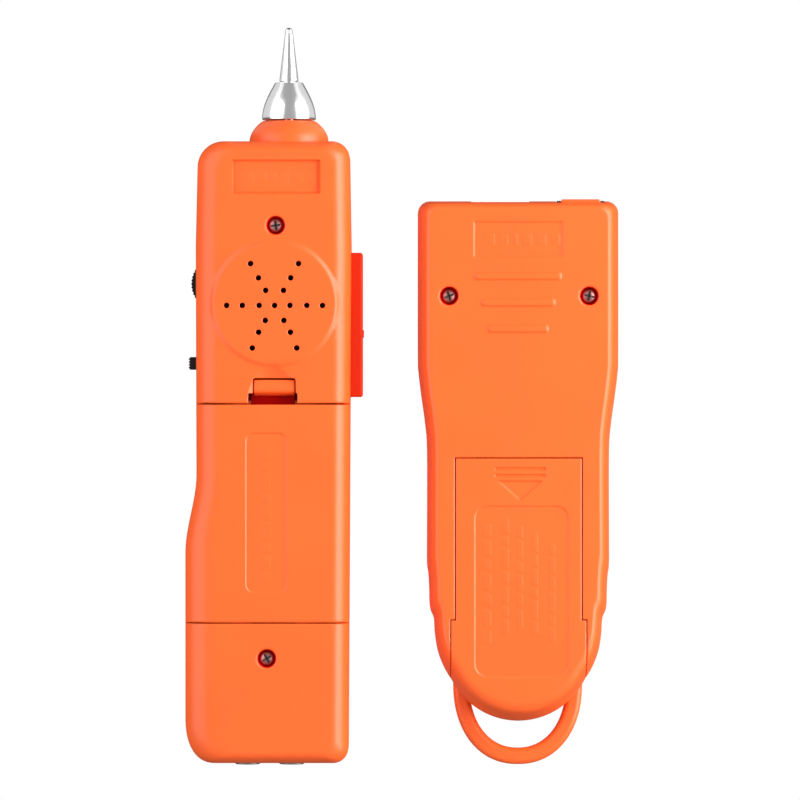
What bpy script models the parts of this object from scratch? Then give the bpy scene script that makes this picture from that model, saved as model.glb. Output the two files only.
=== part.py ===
"""A cable tracing kit: a tone probe and its tone generator, lying face down side by side.

Run it with blender --background --python part.py, or from Blender's text editor.
Every size below is in millimetres; MM turns it into Blender's metres.
Each unit is modelled in its own frame: x across, y from the tail end to the head, z up from its front face.
"""

import math

import bmesh
import bpy
from mathutils import Matrix, Vector

MM = 0.001
GAP = 0.3  # clearance between pieces that touch

# ---- driving dimensions of the probe -------------------------------------------------
PROBE_HALF_WIDTH = 21.5
PROBE_LENGTH = 174.3
PROBE_THICK = 29.0
PROBE_GRIP_BULGE = 3.1
PROBE_PARTING = 14.5
PROBE_WALL = 2.0
PROBE_SKIRT_Z = 22.6  # where the back's rounded shoulder begins
PROBE_DOOR = (39.45, 100.7)  # seams at the two ends of the battery door
PROBE_SCREWS = ((0.8, 150.6), (-1.7, 29.5))
SPEAKER = (0.5, 128.8)
SPEAKER_PAD_RADIUS = 17.6
SPEAKER_PAD_RISE = 0.7
GRILLE = (0.5, 128.2)  # the middle hole
GRILLE_ROW = (4.3, 9.0, 13.4)  # the holes to either side of it
GRILLE_RAYS = ((11.7, 6.7), (7.7, 4.5), (4.2, 2.5), (-4.2, 2.6), (-7.5, 4.45), (-11.9, 6.2))  # dy and dx
NOSE_X = 4.3
TIP_END = 206.6
COLLAR_TOP = 180.3
FERRULE_TOP = 191.1
VOLUME_WHEEL = (-15.6, 134.5)
VOLUME_WHEEL_RADIUS = 7.7
MODE_SWITCH_Y = 112.1
SOCKET_BLOCK_Y = (102.6, 143.1)
SOCKET_BLOCK_Z = (6.6, 21.6)
SOCKET_BLOCK_FACE = 25.1
PROBE_RJ45_Y = 112.6
PROBE_RJ11_Y = 133.0
EARPHONE_X = -7.3
TORCH_X = 5.1
LISTEN_BUTTON = (0.0, 118.0)
LISTEN_BUTTON_RADIUS = 5.5

# ---- driving dimensions of the generator ---------------------------------------------
GEN_HALF_WIDTH = 28.2
GEN_LENGTH = 146.2
GEN_THICK = 27.0
GEN_PARTING = 13.5
GEN_WALL = 2.0
GEN_DOOR_TOP = 73.9
GEN_DOOR_STEP = 28.6
GEN_DOOR_HALF_WIDTH = 17.6
GEN_DOOR_TAIL_HALF_WIDTH = 18.9
GEN_SCREWS = ((-19.5, 119.4), (19.7, 119.4))
GEN_RJ45_X = -5.0
GEN_RJ11_X = 17.5
GEN_SWITCH_Y = 96.0
LOOP_DROP = 12.6  # how far the hanging loop reaches past the tail

# ---- sizes both units share ----------------------------------------------------------
BOARD_Z = (7.0, 8.6)
BATTERY = (26.5, 46.4, 17.5)  # the 9 V block's width, length and depth
JACK_Z = (8.9, 19.9)
RJ45_OUTSIDE, RJ45_OPENING = 15.9, (11.8, 8.0)
RJ11_OUTSIDE, RJ11_OPENING = 13.2, (9.8, 7.4)
SCREW_SINK_RADIUS = 2.65
SCREW_HEAD_RADIUS = 2.15

# ---- where each unit lies ------------------------------------------------------------
UNIT_SPACING = 68.8  # between the two centre lines
GENERATOR_RAISE = 11.5  # the generator's tail end above the probe's
EARPHONE_NUT_OUT = 0.7
PROBE_PLACE = (
    -(PROBE_HALF_WIDTH + PROBE_GRIP_BULGE + UNIT_SPACING + GEN_HALF_WIDTH) / 2
    + PROBE_HALF_WIDTH + PROBE_GRIP_BULGE,
    -(TIP_END - EARPHONE_NUT_OUT) / 2,
)
GENERATOR_PLACE = (PROBE_PLACE[0] + UNIT_SPACING, PROBE_PLACE[1] + GENERATOR_RAISE)

COLOURS = {  # base colour, roughness, metallic
    "orange": ((0.95, 0.19, 0.04), 0.42, 0.0),
    "black": ((0.02, 0.02, 0.02), 0.45, 0.0),
    "steel": ((0.62, 0.60, 0.58), 0.3, 1.0),
    "chrome": ((0.85, 0.85, 0.86), 0.12, 1.0),
    "board": ((0.03, 0.22, 0.08), 0.5, 0.0),
    "gold": ((0.83, 0.62, 0.25), 0.3, 1.0),
    "label": ((0.05, 0.05, 0.06), 0.35, 0.0),
    "red_lens": ((0.7, 0.03, 0.02), 0.15, 0.0),
    "clear_lens": ((0.85, 0.88, 0.9), 0.08, 0.0),
    "battery": ((0.04, 0.12, 0.32), 0.35, 0.2),
    "red_lead": ((0.7, 0.02, 0.02), 0.4, 0.0),
    "jack": ((0.05, 0.05, 0.055), 0.4, 0.0),
}


# ======================================================================================
# Scene and objects
# ======================================================================================
for old in list(bpy.data.objects):
    bpy.data.objects.remove(old)

PARTS = bpy.data.collections.new("tone_probe_kit")
CUTTERS = bpy.data.collections.new("cutters")
for collection in (PARTS, CUTTERS):
    bpy.context.scene.collection.children.link(collection)


def material(name):
    """The named Principled material, made on first use."""
    found = bpy.data.materials.get(name)
    if found:
        return found
    colour, roughness, metallic = COLOURS[name]
    found = bpy.data.materials.new(name)
    found.use_nodes = True
    shader = found.node_tree.nodes["Principled BSDF"]
    shader.inputs["Base Color"].default_value = (*colour, 1.0)
    shader.inputs["Roughness"].default_value = roughness
    shader.inputs["Metallic"].default_value = metallic
    found.diffuse_color = (*colour, 1.0)
    return found


def unit_empty(name, place):
    empty = bpy.data.objects.new(name, None)
    empty.location = (place[0] * MM, place[1] * MM, 0)
    PARTS.objects.link(empty)
    return empty


def add(name, data, unit, colour=None):
    """Links an object under its unit: a part if it has a colour, else a cutter."""
    obj = bpy.data.objects.new(name, data)
    obj.parent = unit
    if colour:
        PARTS.objects.link(obj)
        data.materials.append(material(colour))
    else:
        CUTTERS.objects.link(obj)
        obj.hide_render = True
        obj.display_type = "WIRE"
    return obj


def from_bmesh(name, bm, unit, colour=None):
    """A mesh object from bm, whose sizes are in millimetres."""
    bmesh.ops.transform(bm, matrix=Matrix.Scale(MM, 4), verts=bm.verts)
    mesh = bpy.data.meshes.new(name)
    bm.to_mesh(mesh)
    bm.free()
    mesh.shade_smooth()
    mesh.set_sharp_from_angle(angle=math.radians(35))
    return add(name, mesh, unit, colour)


def put_origin(obj, pivot):
    """Moves a mesh object's origin onto pivot, in millimetres, and leaves its shape where it is."""
    shift = Vector(pivot) * MM
    obj.data.transform(Matrix.Translation(-shift))
    obj.location = shift
    return obj


def boolean(obj, other, operation):
    modifier = obj.modifiers.new(f"{operation.lower()} {other.name}", "BOOLEAN")
    modifier.operation = operation
    modifier.object = other


def cut(obj, *others):
    for other in others:
        boolean(obj, other, "DIFFERENCE")


def join(obj, *others):
    for other in others:
        boolean(obj, other, "UNION")


def round_edges(obj, width, segments=2):
    modifier = obj.modifiers.new("round edges", "BEVEL")
    modifier.width = width * MM
    modifier.segments = segments
    modifier.limit_method = "ANGLE"
    modifier.angle_limit = math.radians(50)


# ======================================================================================
# Shapes
# ======================================================================================
def block(name, unit, x, y, z, colour=None, rounding=0.0):
    """A box between the pairs x, y and z."""
    bm = bmesh.new()
    bmesh.ops.create_cube(bm, size=1)
    sizes = [high - low for low, high in (x, y, z)]
    centre = [(high + low) / 2 for low, high in (x, y, z)]
    place = Matrix.Translation(centre) @ Matrix.Diagonal((*sizes, 1))
    bmesh.ops.transform(bm, matrix=place, verts=bm.verts)
    obj = from_bmesh(name, bm, unit, colour)
    if rounding:
        round_edges(obj, rounding)
    return obj


TURNS = {"X": Matrix.Rotation(math.radians(90), 4, "Y"),
         "Y": Matrix.Rotation(math.radians(-90), 4, "X"),
         "Z": Matrix.Identity(4)}


def rods(name, unit, centres, radius, span, axis="Z", sides=24, colour=None):
    """Cylinders along one axis. Each centre gives the two other coordinates, and span the two ends."""
    bm = bmesh.new()
    middle, length = (span[0] + span[1]) / 2, span[1] - span[0]
    for a, b in centres:
        place = {"X": (middle, a, b), "Y": (a, middle, b), "Z": (a, b, middle)}[axis]
        bmesh.ops.create_cone(bm, cap_ends=True, segments=sides, radius1=radius, radius2=radius,
                              depth=length, matrix=Matrix.Translation(place) @ TURNS[axis])
    return from_bmesh(name, bm, unit, colour)


def slab(name, unit, outline, z, colour=None):
    """A flat plate with the given outline between the heights z."""
    bm = bmesh.new()
    face = bm.faces.new([bm.verts.new((x, y, z[0])) for x, y in outline])
    grown = bmesh.ops.extrude_face_region(bm, geom=[face])["geom"]
    top = [v for v in grown if isinstance(v, bmesh.types.BMVert)]
    bmesh.ops.translate(bm, vec=(0, 0, z[1] - z[0]), verts=top)
    bmesh.ops.recalc_face_normals(bm, faces=bm.faces)
    return from_bmesh(name, bm, unit, colour)


def side_profile(name, unit, outline, x, colour=None):
    """A constant section drawn as (y, z) points and carried along x."""
    obj = slab(name, unit, outline, x, colour)
    # the plate's own x, y, z become y, z, x
    turn = Matrix(((0, 0, 1, 0), (1, 0, 0, 0), (0, 1, 0, 0), (0, 0, 0, 1)))
    obj.data.transform(turn)
    return obj


def turned(name, unit, profile, centre, axis="Y", steps=24, colour=None):
    """A turned piece. The profile is (radius, height) points, running down the outer side."""
    bm = bmesh.new()
    points = [bm.verts.new((r, 0, h)) for r, h in profile]
    closed = profile[0][0] > 0
    pairs = list(zip(points, points[1:])) + ([(points[-1], points[0])] if closed else [])
    for pair in pairs:
        bm.edges.new(pair)
    obj = from_bmesh(name, bm, unit, colour)
    screw = obj.modifiers.new("turn", "SCREW")
    screw.steps = screw.render_steps = steps
    screw.use_merge_vertices = True
    screw.merge_threshold = 0.00001
    screw.use_smooth_shade = True
    obj.matrix_local = Matrix.Translation(Vector(centre) * MM) @ TURNS[axis]
    return obj


def smooth_through(points, per_span):
    """Catmull-Rom points through the given ones, in two or three dimensions."""
    made = []
    vectors = [Vector(p) for p in points]
    ends = [2 * vectors[0] - vectors[1], *vectors, 2 * vectors[-1] - vectors[-2]]
    for a, b, c, d in zip(ends, ends[1:], ends[2:], ends[3:]):
        for step in range(per_span):
            t = step / per_span
            made.append(0.5 * (2 * b + (c - a) * t + (2 * a - 5 * b + 4 * c - d) * t * t
                               + (3 * b - a - 3 * c + d) * t ** 3))
    return [tuple(p) for p in made] + [tuple(vectors[-1])]


def lead(name, unit, route, radius, colour):
    """A round wire along a smooth route."""
    curve = bpy.data.curves.new(name, "CURVE")
    curve.dimensions = "3D"
    points = smooth_through(route, 3)
    spline = curve.splines.new("POLY")
    spline.points.add(len(points) - 1)
    for target, point in zip(spline.points, points):
        target.co = (*(Vector(point) * MM), 1)
    curve.bevel_depth = radius * MM
    curve.bevel_resolution = 2
    curve.use_fill_caps = True
    return add(name, curve, unit, colour)


def arc(cx, cy, rx, ry, start, end, steps, power=1.0):
    """Points round part of an ellipse. A power under 1 squares its corners."""
    points = []
    for i in range(steps + 1):
        angle = math.radians(start + (end - start) * i / steps)
        c, s = math.cos(angle), math.sin(angle)
        points.append((cx + rx * math.copysign(abs(c) ** power, c),
                       cy + ry * math.copysign(abs(s) ** power, s)))
    return points


def rounded_rectangle(x, y, radius, steps=3):
    corners = ((x[1], y[0], -90), (x[1], y[1], 0), (x[0], y[1], 90), (x[0], y[0], 180))
    points = []
    for cx, cy, start in corners:
        inner_x = cx - radius if cx == x[1] else cx + radius
        inner_y = cy - radius if cy == y[1] else cy + radius
        points += arc(inner_x, inner_y, radius, radius, start, start + 90, steps)
    return points


def smoothstep(t):
    t = max(0.0, min(1.0, t))
    return t * t * (3 - 2 * t)


# ======================================================================================
# Casings
# ======================================================================================
def probe_outline():
    """The probe seen from its back: nearly straight on the right, a palm swell on the lower left."""
    w, grip = PROBE_HALF_WIDTH, PROBE_HALF_WIDTH + PROBE_GRIP_BULGE
    points = arc(w - 4.7, 4.3, 4.3, 4.3, -90, 0, 5)
    points += [(w + 0.1, 100.0), (w + 0.4, 145.0)]
    points += arc(w - 5.0, PROBE_LENGTH - 5.0, 5.0, 5.0, 0, 90, 5)
    points += arc(-w + 7.6, PROBE_LENGTH - 7.3, 7.3, 7.3, 90, 180, 6)
    points += [(-w - 0.2, 145.0)]
    swell_top, swell_bottom, steps = 81.0, 59.0, 9
    for i in range(steps + 1):
        y = swell_top + (swell_bottom - swell_top) * i / steps
        points.append((-w - PROBE_GRIP_BULGE * smoothstep(i / steps), y))
    points += arc(-grip + 8.5, 13.0, 8.5, 13.0, 180, 270, 7, power=0.85)
    return points


def generator_outline():
    """The generator seen from its back: a broad head, a waist, and a rounded tail with finger grips."""
    tail_radius = 20.8
    right = arc(0.0, tail_radius, tail_radius, tail_radius, -81, -31, 6)
    side = [(18.0, 10.4), (20.8, 15.0), (22.6, 19.7), (23.4, 24.5), (23.7, 28.8), (24.8, 32.0),
            (25.0, 37.5), (25.2, 41.0), (25.6, 44.5), (25.6, 52.0), (25.6, 76.0), (26.2, 84.0),
            (27.1, 90.5), (28.0, 98.0), (GEN_HALF_WIDTH, 104.0), (GEN_HALF_WIDTH, GEN_LENGTH - 3.4)]
    right += smooth_through(side, 2)[1:]
    right += arc(GEN_HALF_WIDTH - 3.4, GEN_LENGTH - 3.4, 3.4, 3.4, 15, 90, 5)
    left = [(-x, y) for x, y in reversed(right)]
    return [(0.0, 0.0), *right, *left]


PROBE_FRONT_INSETS = (4.0, 4.0, 3.4, 3.4)  # left, right, tail and head, from the edge to the flat face
PROBE_BACK_INSETS = (7.4, 5.2, 3.4, 3.4)
GEN_FRONT_INSETS = (3.9, 3.9, 3.7, 3.7)
GEN_BACK_DRAFT = (1.5, 1.5, 2.4, 0.8)
GEN_BACK_INSETS = (3.6, 3.6, 6.0, 2.6)


def inset_share(insets, share):
    return tuple(inset * share for inset in insets)


def front_levels(parting, insets):
    """Heights and insets of a front shell: straight walls, then a rounded edge."""
    return [(parting - GAP / 2, inset_share(insets, 0)), (4.0, inset_share(insets, 0)),
            (1.2, inset_share(insets, 0.3)), (0.0, insets)]


def probe_back_levels(steps=4):
    """Heights and insets of the probe's back: straight walls, then a shoulder rounder on the left."""
    levels = [(PROBE_PARTING + GAP / 2, inset_share(PROBE_BACK_INSETS, 0)),
              (PROBE_SKIRT_Z, inset_share(PROBE_BACK_INSETS, 0))]
    for i in range(1, steps + 1):
        angle = math.radians(90 * i / steps)
        height = PROBE_SKIRT_Z + (PROBE_THICK - PROBE_SKIRT_Z) * math.sin(angle)
        levels.append((height, inset_share(PROBE_BACK_INSETS, 1 - math.cos(angle))))
    return levels


def generator_back_levels(steps=3, fillet=2.4):
    """Heights and insets of the generator's back: drafted walls, then a small fillet."""
    start = GEN_THICK - fillet
    straight = inset_share(GEN_BACK_DRAFT, 0)
    levels = [(GEN_PARTING + GAP / 2, straight), (GEN_PARTING + 1.5, straight), (start, GEN_BACK_DRAFT)]
    for i in range(1, steps + 1):
        angle = math.radians(90 * i / steps)
        share = 1 - math.cos(angle)
        insets = tuple(a + (b - a) * share for a, b in zip(GEN_BACK_DRAFT, GEN_BACK_INSETS))
        levels.append((start + fillet * math.sin(angle), insets))
    return levels


def casing(name, unit, outline, levels, wall, colour=None):
    """A half casing: the outline drawn in level by level, closed by a flat face, with the wall inside it."""
    bm = bmesh.new()
    xs, ys = [p[0] for p in outline], [p[1] for p in outline]
    x0, x1, y0, y1 = min(xs), max(xs), min(ys), max(ys)
    rings = []
    for z, (left, right, tail, head) in levels:
        scale_x, scale_y = 1 - (left + right) / (x1 - x0), 1 - (tail + head) / (y1 - y0)
        rings.append([bm.verts.new((x0 + left + (x - x0) * scale_x, y0 + tail + (y - y0) * scale_y, z))
                      for x, y in outline])
    for lower, upper in zip(rings, rings[1:]):
        for i in range(len(outline)):
            j = (i + 1) % len(outline)
            bm.faces.new((lower[i], lower[j], upper[j], upper[i]))
    bm.faces.new(rings[-1])
    if levels[-1][0] < levels[0][0]:
        bmesh.ops.reverse_faces(bm, faces=bm.faces)
    obj = from_bmesh(name, bm, unit, colour)
    solidify = obj.modifiers.new("wall", "SOLIDIFY")
    solidify.thickness = wall * MM
    solidify.offset = -1
    solidify.use_even_offset = True
    return obj


def outline_between(outline, low, high, inset):
    """The part of an outline between two y values, drawn in sideways by inset."""
    def width_at(y, side):
        crossings = []
        for (x0, y0), (x1, y1) in zip(outline, outline[1:] + outline[:1]):
            if (y0 - y) * (y1 - y) <= 0 and y0 != y1:
                crossings.append(x0 + (x1 - x0) * (y - y0) / (y1 - y0))
        return max(crossings) - inset if side > 0 else min(crossings) + inset
    steps = 10
    heights = [low + (high - low) * i / steps for i in range(steps + 1)]
    right = [(width_at(y, 1), y) for y in heights]
    left = [(width_at(y, -1), y) for y in reversed(heights)]
    return right + left


def battery_tray(name, unit, outline, deck_y, deck_z, well, floor_z, wall=1.3):
    """Cutters for a battery bay: the deck and well to add, and the well's space to take away."""
    (x0, x1), (y0, y1) = well
    deck = slab(f"{name}_deck", unit, outline_between(outline, *deck_y, 1.0), deck_z)
    tub = block(f"{name}_tub", unit, (x0 - wall, x1 + wall), (y0 - wall, y1 + wall),
                (floor_z - wall, deck_z[1] - 0.2))
    space = block(f"{name}_space", unit, (x0, x1), (y0, y1), (floor_z, deck_z[1] + 12))
    return deck, tub, space


def screw(name, unit, place, top, length):
    """A pan-head screw with a cross recess; top is the height of its head."""
    x, y = place
    r = SCREW_HEAD_RADIUS
    profile = [(0, top), (0.55 * r, top - 0.15), (0.85 * r, top - 0.45), (r, top - 0.9), (r, top - 1.5),
               (1.2, top - 1.5), (1.2, top - length + 1.2), (0.0, top - length)]
    obj = turned(name, unit, [(a, h - top) for a, h in profile], (x, y, top), axis="Z", steps=16,
                 colour="steel")
    for arm, (half_x, half_y) in enumerate(((1.3, 0.3), (0.3, 1.3))):
        cut(obj, block(f"{name}_slot_{arm}", unit, (x - half_x, x + half_x), (y - half_y, y + half_y),
                       (top - 0.8, top + 1)))
    return obj


def jack(name, unit, centre, z, face, depth, outside, opening, axis):
    """A modular jack: a block open at its face. The axis is the way the plug comes out."""
    across = (centre - outside / 2, centre + outside / 2)
    mouth = (centre - opening[0] / 2, centre + opening[0] / 2)
    middle = (z[0] + z[1]) / 2
    mouth_z = (middle - opening[1] / 2, middle + opening[1] / 2)
    body_span, mouth_span = (face - depth, face), (face - depth + 1.5, face + 1)
    if axis == "X":
        body = block(name, unit, body_span, across, z, "jack")
        hollow = block(f"{name}_mouth", unit, mouth_span, mouth, mouth_z)
    else:
        body = block(name, unit, across, body_span, z, "jack")
        hollow = block(f"{name}_mouth", unit, mouth, mouth_span, mouth_z)
    cut(body, hollow)
    return body


def contacts(name, unit, centre, count, back, floor, axis, pitch=1.02):
    """The spring contacts of a jack: wires in a row, joined by their bar at the back."""
    reach, width = 7.0, 0.42
    half = pitch * (count - 1) / 2
    bar_across = (centre - half - 0.6, centre + half + 0.6)
    bar_span, bar_z = (back, back + 1.0), (floor, floor + 1.4)
    if axis == "X":
        bar = block(name, unit, bar_span, bar_across, bar_z, "gold")
    else:
        bar = block(name, unit, bar_across, bar_span, bar_z, "gold")
    for i in range(count):
        across = centre - half + pitch * i
        span = (across - width / 2, across + width / 2)
        along = (back + 0.5, back + reach)
        wire_z = (floor + 0.5, floor + 0.95)
        if axis == "X":
            join(bar, block(f"{name}_wire_{i}", unit, along, span, wire_z))
        else:
            join(bar, block(f"{name}_wire_{i}", unit, span, along, wire_z))
    return bar


def battery(name, unit, y_start, z_start):
    """A 9 V block with its two snap terminals on the end away from the tail."""
    width, length, depth = BATTERY
    body = block(name, unit, (-width / 2, width / 2), (y_start, y_start + length),
                 (z_start, z_start + depth), "battery", rounding=1.2)
    end = y_start + length
    for label, x, radius in (("socket", -6.35, 4.2), ("stud", 6.35, 3.0)):
        join(body, rods(f"{name}_{label}", unit, [(x, z_start + depth / 2)], radius,
                        (end - 1, end + 2.1), "Y", 16))
    return body


def snap_connector(name, unit, y_start, z_middle):
    """The soft cap that snaps on the battery's terminals."""
    return block(name, unit, (-13.0, 13.0), (y_start, y_start + 3.4), (z_middle - 6.3, z_middle + 6.3),
                 "black", rounding=1.0)


# ======================================================================================
# The probe
# ======================================================================================
def probe_casing(unit):
    """The front and back shells, with their bosses, battery bay and openings."""
    outline = probe_outline()
    front = casing("probe_front_shell", unit, outline, front_levels(PROBE_PARTING, PROBE_FRONT_INSETS),
                   PROBE_WALL, "orange")
    back = casing("probe_back_shell", unit, outline, probe_back_levels(), PROBE_WALL, "orange")

    # bosses for the two screws, with a sink in the back for each head
    join(front, rods("front_bosses", unit, PROBE_SCREWS, 3.2, (1.0, PROBE_PARTING - 0.4), sides=16))
    cut(front, rods("front_boss_bores", unit, PROBE_SCREWS, 1.55, (3.0, PROBE_PARTING + 2), sides=12))
    join(back, rods("back_bosses", unit, PROBE_SCREWS, 4.1, (PROBE_PARTING + 0.4, 28.0), sides=20))

    # the raised speaker pad
    join(back, rods("speaker_pad", unit, [SPEAKER], SPEAKER_PAD_RADIUS,
                    (27.3, PROBE_THICK + SPEAKER_PAD_RISE), sides=48))

    # the battery bay: a pocket for the door, then the deck and well below it
    seam_low, seam_high = PROBE_DOOR
    pocket_y = (seam_low - 0.2, seam_high + 0.25)
    cut(back, block("door_pocket", unit, (-40, 40), pocket_y, (PROBE_SKIRT_Z, 40)))
    deck, tub, space = battery_tray(
        "probe_bay", unit, outline, (seam_low - 1.6, seam_high + 0.9), (21.0, PROBE_SKIRT_Z - 0.3),
        ((-14.4, 14.4), (42.0, 98.6)), 7.6)
    join(back, deck, tub)
    cut(back, space)

    # speaker holes in a row and four rays, name plate, screw sinks
    gx, gy = GRILLE
    holes = [GRILLE] + [(gx + side * dx, gy) for dx in GRILLE_ROW for side in (-1, 1)]
    holes += [(gx + side * dx, gy + dy) for dy, dx in GRILLE_RAYS for side in (-1, 1)]
    cut(back, rods("speaker_holes", unit, holes, 0.85, (24, 33), sides=8))
    cut(back, block("name_plate_recess", unit, (-11.2, 13.2), (159.6, 168.8), (PROBE_THICK - 0.6, 40)))
    cut(back, rods("back_screw_sinks", unit, PROBE_SCREWS, SCREW_SINK_RADIUS, (25.6, 33), sides=24))
    cut(back, rods("back_screw_bores", unit, PROBE_SCREWS, 1.55, (10, 30), sides=12))

    # the finger scoop, and the slot for the door's catch
    cut(back, finger_scoop(unit))
    cut(back, block("catch_slot", unit, (-6.9, 6.9), (98.4, 103.7), (20.7, 40)))
    cut(back, block("catch_slot_head", unit, (-5.6, 6.4), (103.3, 107.9), (20.7, 40)))
    cut(back, block("lead_hole", unit, (-12.6, -8.4), (98.0, 104), (16.0, 20.0)))

    # side openings: volume wheel, mode switch, socket block, then the holes on the parting plane
    wx, wy = VOLUME_WHEEL
    cut(front, block("wheel_slot", unit, (-30, -18.5), (wy - 7.6, wy + 7.6), (9.9, 13.2)))
    cut(front, block("switch_slot", unit, (-30, -18.5), (MODE_SWITCH_Y - 2.4, MODE_SWITCH_Y + 4.8),
                     (9.8, 12.6)))
    socket_hole = block("socket_hole", unit, (18.0, 30),
                        (SOCKET_BLOCK_Y[0] - GAP, SOCKET_BLOCK_Y[1] + GAP),
                        (SOCKET_BLOCK_Z[0] - GAP, SOCKET_BLOCK_Z[1] + GAP))
    end_holes = rods("tail_holes", unit, [(EARPHONE_X, PROBE_PARTING), (TORCH_X, PROBE_PARTING)], 3.9,
                     (-5, 6), "Y", 24)
    nose_hole = rods("nose_hole", unit, [(NOSE_X, PROBE_PARTING)], 8.2, (168, 180), "Y", 32)
    for shell in (front, back):
        cut(shell, socket_hole, end_holes, nose_hole)

    # the front's control panel: a shallow recess, the button's hole and the lamps' windows
    panel = rounded_rectangle((-15.5, 15.5), (104.5, 167.5), 4)
    cut(front, slab("panel_recess", unit, panel, (-5, 0.9)))
    bx, by = LISTEN_BUTTON
    cut(front, rods("button_hole", unit, [(bx, by)], LISTEN_BUTTON_RADIUS + GAP, (-5, 5), sides=32))
    cut(front, rods("signal_lamp_hole", unit, [(0.0, 161.0)], 1.8, (-5, 5), sides=16))
    cut(front, block("line_lamp_hole", unit, (-12.3, 12.3), (140.7, 144.3), (-5, 5)))
    return front, back


def finger_scoop(unit):
    """An ellipsoid that dishes the back above the battery door."""
    bm = bmesh.new()
    bmesh.ops.create_uvsphere(bm, u_segments=24, v_segments=16, radius=1)
    place = Matrix.Translation((0.0, PROBE_DOOR[1], 30.8)) @ Matrix.Diagonal((8.0, 11.6, 3.4, 1))
    bmesh.ops.transform(bm, matrix=place, verts=bm.verts)
    return from_bmesh("finger_scoop", bm, unit)


def probe_door(unit):
    """The full-width battery door and the catch at its upper end."""
    low, high = PROBE_DOOR
    door = casing("probe_battery_door", unit, probe_outline(), probe_back_levels(), PROBE_WALL, "orange")
    region = block("door_region", unit, (-40, 40), (low + 0.15, high - 0.25), (PROBE_SKIRT_Z + GAP, 40))
    boolean(door, region, "INTERSECT")
    # two lugs that hook under the lower shell, and the strip that carries the catch
    for side, x in enumerate((-9.0, 9.0)):
        join(door, block(f"door_lug_{side}", unit, (x - 2.5, x + 2.5), (low - 1.7, low + 3), (25.6, 26.7)))
        join(door, block(f"door_lug_root_{side}", unit, (x - 2.5, x + 2.5), (low + 1.2, low + 3),
                         (26.0, 27.6)))
    strip = [(98.9, 27.6), (98.9, 21.3), (104.1, 21.3), (104.1, 22.4), (100.1, 22.4), (100.1, 27.6)]
    join(door, side_profile("catch_strip", unit, strip, (-5.0, 5.0)))
    plate = rounded_rectangle((-7.5, 3.7), (48.0, 92.5), 2.2)
    cut(door, slab("door_plate_recess", unit, plate, (PROBE_THICK - 0.35, 40)))
    put_origin(door, (0, low + 0.15, PROBE_THICK))

    finger = [(102.9, 22.8), (104.1, 22.8), (104.6, 26.3), (107.1, 26.8), (107.4, 27.5), (107.1, 28.0),
              (104.9, 28.4), (103.9, 28.0), (103.4, 27.0)]
    catch = side_profile("probe_door_catch", unit, finger, (-5.3, 6.1), "orange")
    put_origin(catch, (0, 103.5, 22.8))
    return door, catch


def probe_nose(unit):
    """The collar, the metal ferrule and the tip, all on the axis of the tip."""
    centre = (NOSE_X, 0, PROBE_PARTING)
    top, base = COLLAR_TOP, PROBE_LENGTH + GAP
    collar = [(7.6, top), (8.9, top - 1.3), (9.7, top - 2.2), (10.3, top - 3.1), (10.8, top - 4.1), (11.1, base),
              (7.9, base), (7.9, 172.0), (9.6, 172.0), (9.6, 169.6), (2.1, 169.6), (2.1, top)]
    turned("probe_nose_collar", unit, collar, centre, colour="orange")
    low, high = top + GAP, FERRULE_TOP
    ferrule = [(4.0, high)]
    for i in range(1, 7):
        t = i / 6
        ferrule.append((4.0 + 3.6 * math.sin(math.radians(90 * t)), high - (high - low) * t))
    ferrule += [(2.1, low), (2.1, high)]
    turned("probe_tip_ferrule", unit, ferrule, centre, colour="chrome")
    tip = [(0, TIP_END), (0.55, TIP_END - 0.15), (0.95, TIP_END - 0.6), (2.6, high + GAP),
           (1.7, high + GAP), (1.7, 167.0), (0, 167.0)]
    turned("probe_tip", unit, tip, centre, colour="chrome")


def probe_controls(unit):
    """The volume wheel, the mode switch, the listening button and what they work."""
    wx, wy = VOLUME_WHEEL
    teeth = 24
    rim = []
    for i in range(2 * teeth):
        angle = math.pi * i / teeth
        r = VOLUME_WHEEL_RADIUS - (0.35 if i % 2 else 0.0)
        rim.append((wx + r * math.cos(angle), wy + r * math.sin(angle)))
    wheel = slab("probe_volume_wheel", unit, rim, (10.3, 12.8), "black")
    join(wheel, rods("wheel_hub", unit, [(wx, wy)], 2.2, (12.0, 13.6), sides=16))
    put_origin(wheel, (wx, wy, 11.5))
    block("probe_volume_control", unit, (wx - 3.6, wx + 5.0), (wy - 5, wy + 5), (8.9, 10.0), "steel")

    block("probe_mode_switch_body", unit, (-18.7, -14.5), (MODE_SWITCH_Y - 4.0, MODE_SWITCH_Y + 5.6),
          (8.9, 13.0), "steel")
    knob = block("probe_mode_switch_knob", unit, (-24.0, -19.0), (MODE_SWITCH_Y - 1.8, MODE_SWITCH_Y + 1.8),
                 (10.2, 12.2), "black", rounding=0.25)
    put_origin(knob, (-19.0, MODE_SWITCH_Y, 11.2))

    bx, by = LISTEN_BUTTON
    cap = [(0, 3.3), (LISTEN_BUTTON_RADIUS + 1.1, 3.3), (LISTEN_BUTTON_RADIUS + 1.1, 2.4),
           (LISTEN_BUTTON_RADIUS, 2.4), (LISTEN_BUTTON_RADIUS, 0.6), (LISTEN_BUTTON_RADIUS - 0.45, 0.15),
           (0, 0.15)]
    turned("probe_listen_button", unit, cap, (bx, by, 0), axis="Z", colour="black")
    block("probe_button_switch", unit, (bx - 3, bx + 3), (by - 3, by + 3), (4.4, 6.7), "steel")


def tail_ring(name, unit, x, bore):
    """A ring round a hole in the tail end, standing out of the casing."""
    out = EARPHONE_NUT_OUT
    profile = [(3.6, 2.4), (3.6, 0.3 - out), (3.35, -out), (bore, -out), (bore, 2.4)]
    return turned(name, unit, profile, (x, 0, PROBE_PARTING), colour="steel")


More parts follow.
